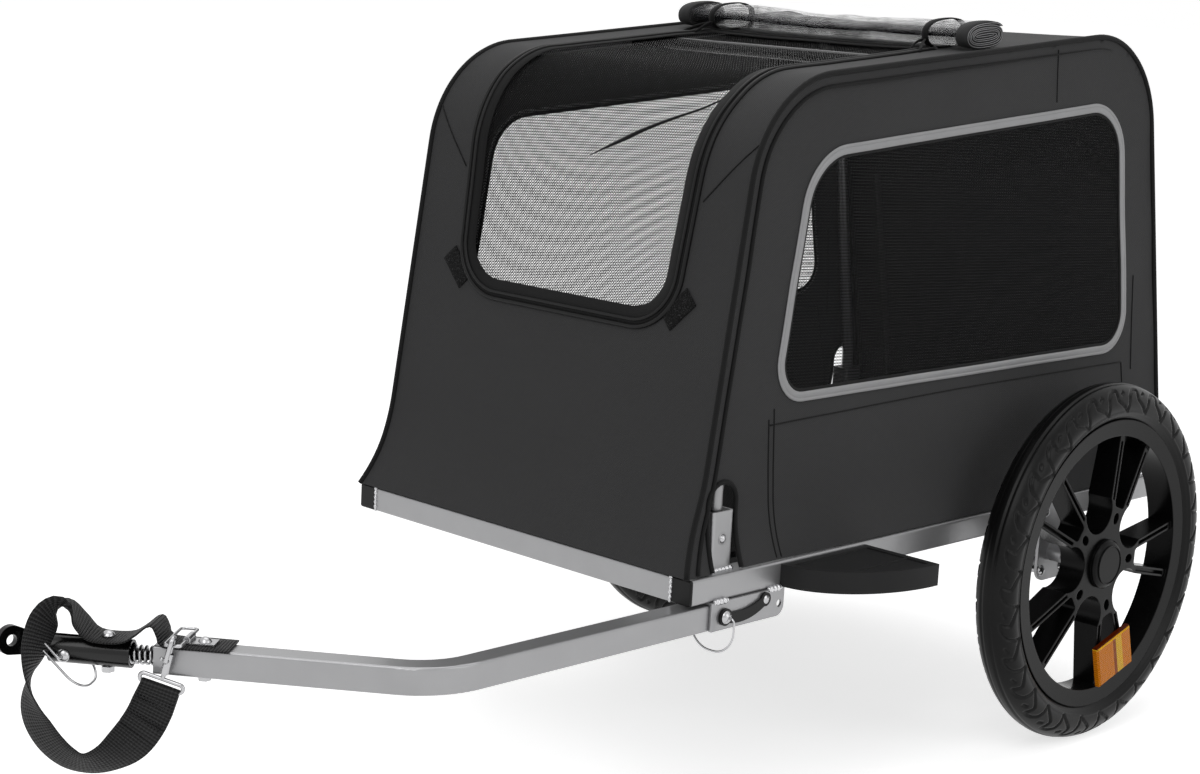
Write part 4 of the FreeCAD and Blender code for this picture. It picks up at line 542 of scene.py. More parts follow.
# Cover: its outline in the side view, as y and z in millimetres, and how its cloth hangs
cover = {"corners": ((2, 1), (28, 80), (84, 464), (738, 518), (846, 1)), "rounds": (220, 119, 119), "step": 6.0,
         "sideX": 224.5, "half": 224.0, "hemHeight": 60.0, "hemFlare": 12.5, "frontFlare": 5.0, "frontEnd": 300.0,
         "upper": 300.0, "slack": 3.2, "slackHalf": 222.0, "crease": 0.8, "creasePace": 1.5, "creasePhase": 0.7}
coverCorners = [Vector(corner) for corner in cover["corners"]]
profile = openOutline(coverCorners, cover["rounds"], cover["step"])
profileNormals = []
profileLengths = [0.0]
for i in range(len(profile)):
    way = profile[min(i + 1, len(profile) - 1)] - profile[max(i - 1, 0)]
    profileNormals.append(Vector((-way.y, way.x)).normalized())
    if i:
        profileLengths.append(profileLengths[-1] + (profile[i] - profile[i - 1]).length)
wrapLength = profileLengths[-1]


# Point and outward normal on the outline, a given length along it from the front hem
def profileAt(along):
    along = max(0.0, min(wrapLength, along))
    i = min(len(profile) - 2, max(0, bisect.bisect_right(profileLengths, along) - 1))
    share = (along - profileLengths[i]) / (profileLengths[i + 1] - profileLengths[i])
    return profile[i].lerp(profile[i + 1], share), profileNormals[i].lerp(profileNormals[i + 1], share)


# Length along the outline at which a test first holds
def alongWhere(test):
    for at, along in zip(profile, profileLengths):
        if test(at):
            return along
    return wrapLength


def alongUp(height):
    return alongWhere(lambda at: at.y >= height)


def alongRoof(back):
    return alongWhere(lambda at: at.x >= back and at.y > cover["upper"])


# Gentle creases that repeat exactly on every run
def ripple(a, b, c):
    return (math.sin(a * 0.021 + b * 0.013 + c) + 0.6 * math.sin(a * 0.037 - b * 0.029 + 2.1 * c)
            + 0.4 * math.sin(a * 0.061 + b * 0.047 - 1.3 * c)) / 2.0


# How far the hem is drawn out: 1 at the rail, 0 at the hem's top
def hemShare(z):
    return max(0.0, 1 - z / cover["hemHeight"]) ** 2


# Point on the wrap: along the outline, x across, lift outward in millimetres
def wrapPoint(along, x, lift=0.0):
    at, normal = profileAt(along)
    inside = max(0.0, 1 - (x / cover["slackHalf"]) ** 2)
    slack = cover["slack"] * inside * min(1.0, at.y / cover["hemHeight"])
    crease = cover["crease"] * inside * ripple(along * cover["creasePace"], x, cover["creasePhase"])
    spot = at + normal * (lift - slack + crease)
    low = hemShare(at.y)
    if at.x < cover["frontEnd"]:
        spot.x -= cover["frontFlare"] * low
    return place(x * (1 + cover["hemFlare"] / cover["sideX"] * low), spot.x, spot.y)


# Unit vectors into a closed outline that runs anticlockwise
def inwardWays(outline):
    count = len(outline)
    ways = [(outline[(i + 1) % count] - outline[i - 1]).normalized() for i in range(count)]
    return [Vector((-way.y, way.x)) for way in ways]


# Closed outline moved inward by a distance, or outward where it is negative
def shifted(outline, distance):
    return [p + inward * distance for p, inward in zip(outline, inwardWays(outline))]


def pairs(path):
    return [(p.x, p.y) for p in path]


# Signed distance to a closed outline in the plane, negative inside
def outlineDistance(point, outline):
    best = 1e9
    nearest = None
    inside = False
    px, py = point
    count = len(outline)
    for i in range(count):
        a = outline[i]
        b = outline[(i + 1) % count]
        dx, dy = b[0] - a[0], b[1] - a[1]
        length = dx * dx + dy * dy
        t = max(0.0, min(1.0, ((px - a[0]) * dx + (py - a[1]) * dy) / length)) if length else 0.0
        qx, qy = a[0] + t * dx, a[1] + t * dy
        d = (px - qx) ** 2 + (py - qy) ** 2
        if d < best:
            best = d
            nearest = (qx, qy)
        if (a[1] > py) != (b[1] > py):
            if px < a[0] + (py - a[1]) * dx / dy:
                inside = not inside
    distance = math.sqrt(best)
    return (-distance if inside else distance), nearest


# Shares of a grid's step within which its points are drawn onto an edge, from outside and from inside
gridTrim = {"outside": 0.75, "inside": 0.3}


# Grid in a plane trimmed to an outline and its holes, with its edge drawn onto them
def trimmedGrid(columns, rows, outline, holes):
    index = {}
    spots = []
    step = max(columns[1] - columns[0], rows[1] - rows[0])
    for i, u in enumerate(columns):
        for j, v in enumerate(rows):
            spot = (u, v)
            inside = True
            for path, wanted in [(outline, -1)] + [(hole, 1) for hole in holes]:
                if path is None:
                    continue
                distance, nearest = outlineDistance(spot, path)
                if distance * wanted < 0:
                    if abs(distance) > step * gridTrim["outside"]:
                        inside = False
                        break
                    spot = nearest
                elif abs(distance) < step * gridTrim["inside"]:
                    spot = nearest
            if inside:
                index[i, j] = len(spots)
                spots.append(spot)
    faces = []
    for i in range(len(columns) - 1):
        for j in range(len(rows) - 1):
            ring = [(i, j), (i + 1, j), (i + 1, j + 1), (i, j + 1)]
            there = [index[c] for c in ring if c in index]
            if len(there) >= 3:
                faces.append(tuple(there))
    return spots, faces


def span(low, high, step):
    count = max(1, int(round((high - low) / step)))
    return [low + (high - low) * i / count for i in range(count + 1)]


# Side panels, with cut-outs for the arch sockets

panel = {"flat": (0.846, 0.512), "grid": 7.0, "back": (-2, 848), "up": (1, 522),
         "crease": 0.7, "creaseStretch": 1.4, "creasePhase": 1.9, "creaseStart": 20.0, "creaseRun": 60.0,
         "frontFlareRun": 45.0}
cutout = {"backs": (55, 800), "half": 20.5, "top": 86.0, "foot": -8.0, "steps": 12,
          "bindingRadius": 2.6, "bindingFoot": 2.0, "bindingLift": 0.3, "bindingStep": 5.0}
window = {"corners": ((122, 158), (745, 158), (693, 437), (159, 395)), "rounds": (36, 38, 62, 62),
          "flat": (0.624, 0.28), "grid": 10.0, "margin": 8.0, "lift": -0.3,
          "trim": {"width": 10.0, "thickness": 1.0, "lift": 0.6, "shift": 0.0},
          "edge": {"width": 4.0, "thickness": 0.7, "lift": -0.2, "shift": 6.0}}
sideWindow = closedOutline([Vector(corner) for corner in window["corners"]], window["rounds"], cover["step"])


def socketCutout(back):
    half = cutout["half"]
    shoulder = cutout["top"] - half
    path = [Vector((back - half, cutout["foot"]))]
    for k in range(cutout["steps"] + 1):
        angle = math.pi * (1 - k / cutout["steps"])
        path.append(Vector((back + half * math.cos(angle), shoulder + half * math.sin(angle))))
    path.append(Vector((back + half, cutout["foot"])))
    return path


cutouts = [socketCutout(back) for back in cutout["backs"]]


# Point on a side panel, with its hem drawn out over the rail
def sidePoint(side, y, z, lift=0.0):
    low = hemShare(z)
    fade = min(1.0, max(0.0, (y - panel["creaseStart"]) / panel["creaseRun"]))
    crease = panel["crease"] * ripple(y, z * panel["creaseStretch"], panel["creasePhase"]) * fade
    stand = cover["hemFlare"] * low + crease
    front = cover["frontFlare"] * low * max(0.0, 1 - y / panel["frontFlareRun"])
    return place(side * (cover["sideX"] + stand + lift), y - front, z)


def flatArea(spots, faces):
    area = 0.0
    for face in faces:
        ring = [spots[k] for k in face]
        area += abs(sum(a[0] * b[1] - b[0] * a[1] for a, b in zip(ring, ring[1:] + ring[:1]))) / 2
    return area * mm * mm


# Cloth of one side, from spots in the side view
def sideSheet(name, side, spots, faces, lift, material):
    points = [sidePoint(side, y, z, lift) for y, z in spots]
    turned = faces if side > 0 else [tuple(reversed(face)) for face in faces]
    return newPiece(name, points, turned, material, rootBody)


def makeSidePanels():
    gaps = [pairs(path) for path in [sideWindow] + cutouts]
    columns, rows = span(*panel["back"], panel["grid"]), span(*panel["up"], panel["grid"])
    spots, faces = trimmedGrid(columns, rows, pairs(profile), gaps)
    for label, side in bothSides:
        cloth = sideSheet(label + "SidePanel", side, spots, faces, 0.0, "cover")
        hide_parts(label + "_side_panel")


# Tape laid on a side panel along a closed outline
def sideBand(name, side, outline, tape, material, ring):
    path, across, out = [], [], []
    for p, inward in zip(outline, inwardWays(outline)):
        spot = p + inward * tape["shift"]
        path.append(sidePoint(side, spot.x, spot.y, tape["lift"]))
        across.append(Vector((0, inward.x, inward.y)))
        out.append(Vector((side, 0, 0)))
    return band(name, path, across, out, tape["width"] * mm, tape["thickness"] * mm, material, rootBody,
                True, ring)


def makeSideWindows():
    inner = pairs(sideWindow)
    margin = window["margin"]
    columns, rows = (span(min(p[k] for p in inner) - margin, max(p[k] for p in inner) + margin, window["grid"])
                     for k in (0, 1))
    spots, faces = trimmedGrid(columns, rows, inner, [])
    for label, side in bothSides:
        net = sideSheet(label + "WindowMesh", side, spots, faces, window["lift"], "sideMesh")
        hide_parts(label + "_window_mesh")
        sideBand(label + "WindowTrim", side, sideWindow, window["trim"], "trim", grooveTape)
        sideBand(label + "WindowEdge", side, sideWindow, window["edge"], "binding", flatTape)


makeSidePanels()
makeSideWindows()
print("sides made")


# Wrap: front, roof and rear panels with the front window, skylight and rear door

wrap = {"frontTo": 205, "roofTo": 625, "lift": 0.6, "grid": 7.0, "margin": 8.0, "flatWidth": 0.448}
frontNet = {"low": 219, "lowHalf": 148, "corner": 110, "cornerHalf": 161, "back": 425, "backHalf": 158,
            "rounds": (55, 55, 60, 12, 12, 60), "lift": -1.2, "grid": 8.0, "flatWidth": 0.322}
door = {"top": 392, "foot": 20, "half": 178, "rounds": (80, 80, 2, 2), "lift": 0.4, "grid": 8.0,
        "flat": (0.358, 0.381)}
frontEnd, roofEnd = alongRoof(wrap["frontTo"]), alongRoof(wrap["roofTo"])
windowLow, skylightEnd = alongUp(frontNet["low"]), alongRoof(frontNet["back"])
cornerAlong = alongRoof(frontNet["corner"])
rearTop, rearFoot = coverCorners[3], coverCorners[4]
rearLean = math.atan2(rearFoot.x - rearTop.x, rearTop.y - rearFoot.y)


def rearAlong(z):
    return wrapLength - (z - rearFoot.y) / math.cos(rearLean)


frontWindow = closedOutline(
    [Vector((-frontNet["lowHalf"], windowLow)), Vector((frontNet["lowHalf"], windowLow)),
     Vector((frontNet["cornerHalf"], cornerAlong)), Vector((frontNet["backHalf"], skylightEnd)),
     Vector((-frontNet["backHalf"], skylightEnd)), Vector((-frontNet["cornerHalf"], cornerAlong))],
    frontNet["rounds"], cover["step"])
doorTop, doorFoot = rearAlong(door["top"]), rearAlong(door["foot"])
doorOutline = closedOutline(
    [Vector((-door["half"], doorTop)), Vector((door["half"], doorTop)), Vector((door["half"], doorFoot)),
     Vector((-door["half"], doorFoot))],
    door["rounds"], cover["step"])


# One panel of the wrap between two lengths along the outline
def wrapPanel(name, low, high, gaps, outline, lift, step, material, body):
    spots, faces = trimmedGrid(span(-cover["half"], cover["half"], step), span(low, high, step), outline, gaps)
    points = [wrapPoint(along, x, lift) for x, along in spots]
    piece = newPiece(name, points, [tuple(reversed(face)) for face in faces], material, body)
    return piece, flatArea(spots, faces)


def makeWrap():
    rows = (
        ("frontPanel", 0.0, frontEnd, "front_panel"),
        ("roofPanel", frontEnd, roofEnd, "roof_panel"),
        ("rearPanel", roofEnd, wrapLength, "rear_panel"),
    )
    gaps = [pairs(frontWindow), pairs(doorOutline)]
    for name, low, high, node in rows:
        inside = [gap for gap in gaps if min(p[1] for p in gap) < high and max(p[1] for p in gap) > low]
        cloth, area = wrapPanel(name, low, high, inside, None, wrap["lift"], wrap["grid"], "cover", rootBody)
        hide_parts(node)
    margin = wrap["margin"]
    net, area = wrapPanel("frontMesh", windowLow - margin, skylightEnd + margin, [], pairs(frontWindow),
                          frontNet["lift"], frontNet["grid"], "mesh", rootBody)
    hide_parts("front_mesh")
    flap, area = wrapPanel("rearDoor", doorTop - margin, doorFoot + margin, [], pairs(doorOutline),
                           door["lift"], door["grid"], "cover", "door")
    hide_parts("rear_door")


# Tapes and zips round the front window and the rear door, shifted inward from their outlines
frontTape = {"width": 20.0, "thickness": 1.0, "lift": 0.8, "shift": 5.0, "reach": 3.0}
frontLines = {"frontWindowZip": {"shift": 2.0, "radius": 1.7, "lift": 2.6},
              "frontWindowPiping": {"shift": -5.0, "radius": 2.3, "lift": 1.6}}
doorTape = {"width": 12.0, "thickness": 0.8, "lift": 0.9, "shift": -6.0, "reach": 3.0}
doorZip = {"radius": 1.6, "lift": 2.0}


def outlineBand(name, outline, tape, material):
    path, across, out = [], [], []
    for p, inward in zip(outline, inwardWays(outline)):
        spot = p + inward * tape["shift"]
        further = spot + inward * tape["reach"]
        at = wrapPoint(spot.y, spot.x, tape["lift"])
        normal = profileAt(spot.y)[1]
        path.append(at)
        across.append((wrapPoint(further.y, further.x, tape["lift"]) - at).normalized())
        out.append(Vector((0, normal.x, normal.y)).normalized())
    return band(name, path, across, out, tape["width"] * mm, tape["thickness"] * mm, material, rootBody,
                closed=True)


def makeFrontTrim():
    outlineBand("frontWindowTape", frontWindow, frontTape, "binding")
    for name, line in frontLines.items():
        path = [wrapPoint(p.y, p.x, line["lift"]) for p in shifted(frontWindow, line["shift"])]
        tube(name, path, line["radius"] * mm, "nylon", rootBody, closed=True)
    outlineBand("doorTape", doorOutline, doorTape, "binding")
    path = [wrapPoint(p.y, p.x, doorZip["lift"]) for p in doorOutline]
    tube("doorZip", path, doorZip["radius"] * mm, "nylon", "door", closed=True)


# Soft pleat in the front net, from the window's upper left corner towards its middle: an opaque dark tube that
# stands for the doubled net along the fold and for painted shade in it
pleat = {"line": ((160, 476), (145, 462), (127, 446), (105, 435), (82, 423), (64, 413), (47, 403), (27, 393),
                  (6, 382)),
         "step": 4.0, "round": 70.0, "lift": -0.7, "thick": 2.1, "thin": 0.5, "fullAt": 0.72}


def makePleat():
    rounds = [pleat["round"]] * (len(pleat["line"]) - 2)
    spots = openOutline([Vector(p) for p in pleat["line"]], rounds, pleat["step"])
    path = [wrapPoint(p.y, p.x, pleat["lift"]) for p in spots]
    full = pleat["fullAt"]
    radii = []
    for i in range(len(path)):
        share = i / (len(path) - 1)
        rise = share / full if share < full else (1 - share) / (1 - full)
        radii.append((pleat["thin"] + (pleat["thick"] - pleat["thin"]) * rise) * mm)
    tube("frontNetPleat", path, radii, "binding", rootBody, sides=8)


# Piping along both edges of the wrap, and the zip track beside it on each side panel
piping = {"radius": 3.0, "outside": 0.8, "lift": 0.6, "step": 8.0}
zipTrack = {"radius": 2.2, "start": 6.0, "pastRoof": 40.0, "inset": 12.0, "lift": 1.2, "step": 8.0, "flat": 0.7,
            "endShare": 0.15, "taper": 0.02}


def makePiping():
    for label, side in bothSides:
        edge = side * (cover["half"] + piping["outside"])
        path = [wrapPoint(along, edge, piping["lift"]) for along in span(0.0, wrapLength, piping["step"])]
        tube(label + "Piping", path, piping["radius"] * mm, "binding", rootBody)
        track = []
        for along in span(zipTrack["start"], roofEnd + zipTrack["pastRoof"], zipTrack["step"]):
            at, normal = profileAt(along)
            spot = at - normal * zipTrack["inset"]
            track.append(sidePoint(side, spot.x, spot.y, zipTrack["lift"]))
        toEnd = range(len(track) - 1, -1, -1)
        shares = [min(1.0, zipTrack["endShare"] + zipTrack["taper"] * left) for left in toEnd]
        radii = [zipTrack["radius"] * mm * share for share in shares]
        tube(label + "ZipTrack", track, radii, "binding", rootBody, flat=zipTrack["flat"])


# Sewn seams: lines on the side panels in the side view, and one across each front corner
seams = {"radius": 0.8, "step": 8.0, "sideLift": 0.2, "frontLift": 0.9, "frontLine": ((222, 404), (167, 344)),
         "sideLines": (((116, 140), (129, 3)), ((123, 150), (136, 3)), ((118, 134), (430, 140), (742, 140)),
                       ((742, 140), (775, 10)), ((560, 496), (565, 440)), ((752, 240), (764, 130)))}


def seamTube(name, path):
    tube(name, path, seams["radius"] * mm, "binding", rootBody, sides=6)


def makeSeams():
    for label, side in bothSides:
        for number, seam in enumerate(seams["sideLines"]):
            line = fillLine([Vector(p) for p in seam], seams["step"])
            seamTube("%sSeam%d" % (label, number), [sidePoint(side, p.x, p.y, seams["sideLift"]) for p in line])
    for label, side in bothSides:
        line = fillLine([Vector((side * x, alongUp(z))) for x, z in seams["frontLine"]], seams["step"])
        seamTube(label + "FrontSeam", [wrapPoint(p.y, p.x, seams["frontLift"]) for p in line])


# Black binding round the socket cut-outs
def makeCutoutBindings():
    for label, side in bothSides:
        for end, outline in zip(("front", "rear"), cutouts):
            spots = [Vector((p.x, max(p.y, cutout["bindingFoot"]))) for p in outline]
            line = fillLine(spots, cutout["bindingStep"])
            path = [sidePoint(side, p.x, p.y, cutout["bindingLift"]) for p in line]
            tube("%s_%s_cutoutBinding" % (label, end), path, cutout["bindingRadius"] * mm, "binding", rootBody)


makeWrap()
makeFrontTrim()
makePleat()
makePiping()
makeSeams()
makeCutoutBindings()
print("wrap made")


# Hook-and-loop tabs beside the front window's lower corners

tabs = {"width": 21.0, "length": 40.0, "lift": 0.9, "thickness": 1.6, "edgeDrop": 0.5, "across": 157.0,
        "above": 20.0, "turn": 45.0, "columns": 7, "rows": 12}


def gridFaces(columns, rows, start, turned):
    faces = []
    for i in range(columns - 1):
        for j in range(rows - 1):
            a = start + i * rows + j
            face = (a, a + rows, a + rows + 1, a + 1)
            faces.append(tuple(reversed(face)) if turned else face)
    return faces


# Side faces between two equal grids, one over the other
def rimFaces(columns, rows, over, turned):
    ring = [i * rows for i in range(columns)]
    ring += [(columns - 1) * rows + j for j in range(1, rows)]
    ring += [i * rows + rows - 1 for i in range(columns - 2, -1, -1)]
    ring += [j for j in range(rows - 2, 0, -1)]
    faces = []
    for a, b in zip(ring, ring[1:] + ring[:1]):
        face = (a, b, b + over, a + over)
        faces.append(face if turned else tuple(reversed(face)))
    return faces


def makeTabs():
    columns, rows = tabs["columns"], tabs["rows"]
    turn = math.radians(tabs["turn"])
    for label, side in bothSides:
        along = Vector((math.cos(turn) * side, math.sin(turn)))
        aside = Vector((-along.y, along.x))
        middle = Vector((tabs["across"] * side, windowLow + tabs["above"]))
        points = []
        for over in (False, True):
            for i in range(columns):
                for j in range(rows):
                    u = (i / (columns - 1) - 0.5) * tabs["width"]
                    v = (j / (rows - 1) - 0.5) * tabs["length"]
                    spot = middle + aside * u + along * v
                    edge = i in (0, columns - 1) or j in (0, rows - 1)
                    lift = tabs["lift"] + (tabs["thickness"] if over else 0.0)
                    points.append(wrapPoint(spot.y, spot.x, lift - (tabs["edgeDrop"] if over and edge else 0.0)))
        over = columns * rows
        faces = gridFaces(columns, rows, 0, side < 0) + gridFaces(columns, rows, over, side > 0)
        faces += rimFaces(columns, rows, over, side < 0)
        newPiece(label + "Tab", points, faces, "loopTape", rootBody)


makeTabs()
print("tabs made")


# Clear rain cover, rolled flat on the roof with bound ends and two ties

roll = {"back": 456.0, "halfLength": 203.0, "halfWidth": 33.0, "halfHeight": 13.4, "lift": 14.3, "turns": 5.8,
        "pitch": 2.9, "flatPitch": 0.76, "widePower": 0.72, "highPower": 0.86, "start": 0.6, "rounds": 190,
        "filmStep": 5.0, "filmTuck": 3.0, "sag": 0.16, "sagRun": 90.0, "sagRipple": 0.05,
        "crumple": 0.8, "crumpleRise": 0.4, "crumpleLeast": 0.3, "crumpleFull": 9.0,
        "binding": 15.0, "bindingThickness": 1.7, "bindingRounds": 230, "bindingSink": -0.4,
        "edgeRadius": 0.4, "edgeOut": 0.3, "edgeSink": -0.1}
tie = {"at": 150.0, "width": 8.0, "thickness": 1.2, "lift": 1.0, "outer": 3.0, "steps": 48, "turn": 0.999}
tieTail = {"lines": ((-7, 26, 9), (9, 30, 2)), "ahead": 2.0, "below": 6.0, "bendAhead": 9.0, "bendRise": 0.3,
           "spread": 8.0, "drop": 8.5, "steps": 6, "radius": 2.6, "flat": 0.45}
roofFront, roofRear = coverCorners[2], coverCorners[3]
roofWay = (roofRear - roofFront).normalized()
roofUp = Vector((-roofWay.y, roofWay.x))
rollMiddle = roofFront + roofWay * ((roll["back"] - roofFront.x) / roofWay.x) + roofUp * roll["lift"]


def signedPower(value, power):
    return math.copysign(abs(value) ** power, value)


# Point of the roll: turns counted from the outer edge, x across, lift outward
def rollPoint(turns, x, lift=0.0):
    angle = 2 * math.pi * turns + roll["start"]
    shrink = roll["pitch"] * turns - lift
    sunk = 1 - roll["sag"] * math.exp(-((x / roll["sagRun"]) ** 2))
    sunk += roll["sagRipple"] * ripple(x * 2.2, turns * 90, 0.4)
    u = (roll["halfWidth"] - shrink) * signedPower(math.cos(angle), roll["widePower"])
    v = (roll["halfHeight"] - shrink * roll["flatPitch"]) * signedPower(math.sin(angle), roll["highPower"])
    low = -roll["halfHeight"]
    v = low + (v - low) * min(1.0, sunk)
    free = roll["crumpleLeast"] + (1 - roll["crumpleLeast"]) * min(1.0, (v - low) / roll["crumpleFull"])
    crumple = roll["crumple"] * ripple(x * 3.1, angle * 40, 1.1) * free
    spot = rollMiddle + roofWay * (u + crumple) + roofUp * (v + roll["crumpleRise"] * crumple)
    return place(x, spot.x, spot.y)


def rollTurns(count):
    return [roll["turns"] * k / count for k in range(count + 1)]


def makeRollFilm():
    rounds = rollTurns(roll["rounds"])
    half = roll["halfLength"] - roll["binding"] + roll["filmTuck"]
    columns = span(-half, half, roll["filmStep"])
    points = [rollPoint(turn, x) for x in columns for turn in rounds]
    faces = gridFaces(len(columns), len(rounds), 0, False)
    sheet = newPiece("rainCoverFilm", points, faces, "film", rootBody)
    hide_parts("rolled_rain_cover")


# Thick bound edge wound with the film, and a pale spiral at the roll's end, a painted highlight on the wound
# edges
def makeRollEnd(label, side):
    x = side * (roll["halfLength"] - roll["binding"] / 2)
    path, across, out = [], [], []
    for turn in rollTurns(roll["bindingRounds"]):
        path.append(rollPoint(turn, x, roll["bindingSink"]))
        across.append(Vector((1, 0, 0)))
        out.append((rollPoint(turn, x, 1.0) - rollPoint(turn, x, -1.0)).normalized())
    width = roll["binding"] * mm
    piece = band(label + "RainCoverBinding", path, across, out, width, roll["bindingThickness"] * mm, "cover",
                 rootBody)
    # Pale spiral at the end face: painted highlight on the wound edges
    end = side * (roll["halfLength"] + roll["edgeOut"])
    edge = [rollPoint(turn, end, roll["edgeSink"]) for turn in rollTurns(roll["rounds"])]
    tube(label + "RainCoverEdgeHighlight", edge, roll["edgeRadius"] * mm, "trim", rootBody, sides=6)


# Tie round the roll, with two short tails on the roof in front of it
def makeTie(label, side):
    x = side * tie["at"]
    path, across, out = [], [], []
    for k in range(tie["steps"]):
        turn = k / tie["steps"]
        over = roll["pitch"] * turn
        at = rollPoint(turn * tie["turn"], x, tie["lift"] + over)
        path.append(at)
        across.append(Vector((1, 0, 0)))
        out.append((rollPoint(turn * tie["turn"], x, tie["outer"] + over) - at).normalized())
    band(label + "RollTie", path, across, out, tie["width"] * mm, tie["thickness"] * mm, "binding", rootBody,
         closed=True)
    front = rollMiddle - roofWay * (roll["halfWidth"] + tieTail["ahead"]) - roofUp * tieTail["below"]
    shares = [t / tieTail["steps"] for t in range(tieTail["steps"] + 1)]
    for number, (lean, length, rise) in enumerate(tieTail["lines"]):
        start = place(x, front.x, front.y)
        bend = place(x + side * lean * 0.5, front.x - tieTail["bendAhead"], front.y + rise * tieTail["bendRise"])
        end = place(x + side * (lean + tieTail["spread"]), front.x - length,
                    front.y - tieTail["drop"] - roofWay.y * length)
        line = [start.lerp(bend, share).lerp(bend.lerp(end, share), share) for share in shares]
        tube("%sTieTail%d" % (label, number), line, tieTail["radius"] * mm, "binding", rootBody,
             flat=tieTail["flat"])


makeRollFilm()
for label, side in bothSides:
    makeRollEnd(label, side)
for label, side in bothSides:
    makeTie(label, side)
print("roll made")


# Hitch: reach runs forward from the arm's bend, side to its left, rise up, all in millimetres

hitch = {"bendX": 227.3, "bendY": -303.0, "turn": 52.5, "bendStart": 250.0, "bendEnd": 300.0}
armLow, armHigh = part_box("tow_arm")
hitchHeading = math.radians(270 - hitch["turn"])
hitchForward = Vector((math.cos(hitchHeading), math.sin(hitchHeading), 0))
hitchSide = Vector((-hitchForward.y, hitchForward.x, 0))
armBend = place(hitch["bendX"], hitch["bendY"], 0)
armBend.z = (armLow[2] + armHigh[2]) / 2


def hitchPoint(reach, side, rise):
    return armBend + (hitchForward * reach + hitchSide * side) * mm + Vector((0, 0, rise * mm))


# Safety strap: webbing bolted over arm and sleeve, round the coupler and back to the snap hook.
# A station is reach, side, rise and twist
strap = {"width": 38.0, "thickness": 1.8, "step": 4.0}
strapStations = (
    (180, 0, 14, 0), (208, 0, 14, 0), (237, 0, 14.2, 0), (242, 0, 22, 0), (246, 0, 30.5, 0), (252, 0, 30.5, 0),
    (263, 0, 21, 0), (276, 0, 14.2, 0), (302, 0, 14.2, 0), (314, 2, 25, 0), (323, 7, 38, 8),
    (331, 14, 41.5, 20), (339, 24, 32, 28), (344, 33, 12, 20), (346, 38, -8, 0), (347, 38, -32, -35),
    (343, 35, -54, -56), (332, 32, -74, -60), (317, 29, -88, -54), (299, 27, -93, -44), (280, 25, -86, -52),
    (263, 23.5, -71, -76), (249, 22.5, -50, -90), (238, 22.2, -22.7, -90),
)
strapEnd = {"bar": (237.4, 22.2, -20.6), "lean": 15.0, "wrap": 2.85, "wrapSteps": 12, "veer": 15.0, "tail": 30.0,
            "layer": 2.0, "narrow": 0.92}
stitch = {"places": (12.0, 15.5, 30.0, 33.5), "half": 1.2, "thread": 0.4, "zigzags": 22, "widthShare": 0.9}


def throughPoints(values, share):
    a, b, c, d = values
    return 0.5 * (2 * b + (c - a) * share + (2 * a - 5 * b + 4 * c - d) * share ** 2
                  + (3 * b - a - 3 * c + d) * share ** 3)


# Smooth line through the stations, with the way across the webbing at each point
def strapLine(stations, step):
    found = []
    count = len(stations)
    for i in range(count - 1):
        near = [stations[max(0, min(count - 1, k))] for k in (i - 1, i, i + 1, i + 2)]
        run = math.dist(near[1][:3], near[2][:3])
        parts = max(1, int(round(run / step)))
        for k in range(parts):
            found.append([throughPoints([n[axis] for n in near], k / parts) for axis in range(4)])
    found.append(list(stations[-1]))
    line = []
    for i, (reach, side, rise, twist) in enumerate(found):
        before = Vector(found[max(i - 1, 0)][:3])
        after = Vector(found[min(i + 1, len(found) - 1)][:3])
        way = (after - before).normalized()
        outward = Vector((-way.z, 0, way.x)).normalized()
        turn = math.radians(twist)
        across = Vector((0, 1, 0)) * math.cos(turn) + outward * math.sin(turn)
        across = (across - way * way.dot(across)).normalized()
        line.append((Vector((reach, side, rise)), across, way.cross(across)))
    return line


# Section of the webbing with rounded edges, in shares of its width and thickness
webbingRing = ((-0.5, 0.0), (-0.49, 0.42), (-0.25, 0.5), (0.0, 0.5), (0.25, 0.5), (0.49, 0.42), (0.5, 0.0),
               (0.49, -0.42), (0.25, -0.5), (0.0, -0.5), (-0.25, -0.5), (-0.49, -0.42))


# Closed strip of webbing, whose own coordinates run across and along it
def webbingStrip(name, line, width, thickness):
    size = len(webbingRing)
    points, lengths = [], []
    along = 0.0
    for i, (at, across, through) in enumerate(line):
        if i:
            along += (at - line[i - 1][0]).length
        lengths.append(along * mm)
        for u, v in webbingRing:
            points.append(hitchPoint(*(at + across * (u * width) + through * (v * thickness))))
    faces = ringFaces(len(line), size, False)
    coordinates = []
    for near, far in zip(lengths[:-1], lengths[1:]):
        for k in range(size):
            u, beside = (webbingRing[n % size][0] * width * mm for n in (k, k + 1))
            coordinates += [(u, near), (beside, near), (beside, far), (u, far)]
    last = (len(line) - 1) * size
    faces += [tuple(reversed(range(size))), tuple(range(last, last + size))]
    coordinates += [(0.0, 0.0)] * (2 * size)
    piece = newPiece(name, points, faces, "webbing", None)
    layer = piece.data.uv_layers.new(name="along")
    for corner, value in zip(layer.data, coordinates):
        corner.uv = value
    return piece, along * mm


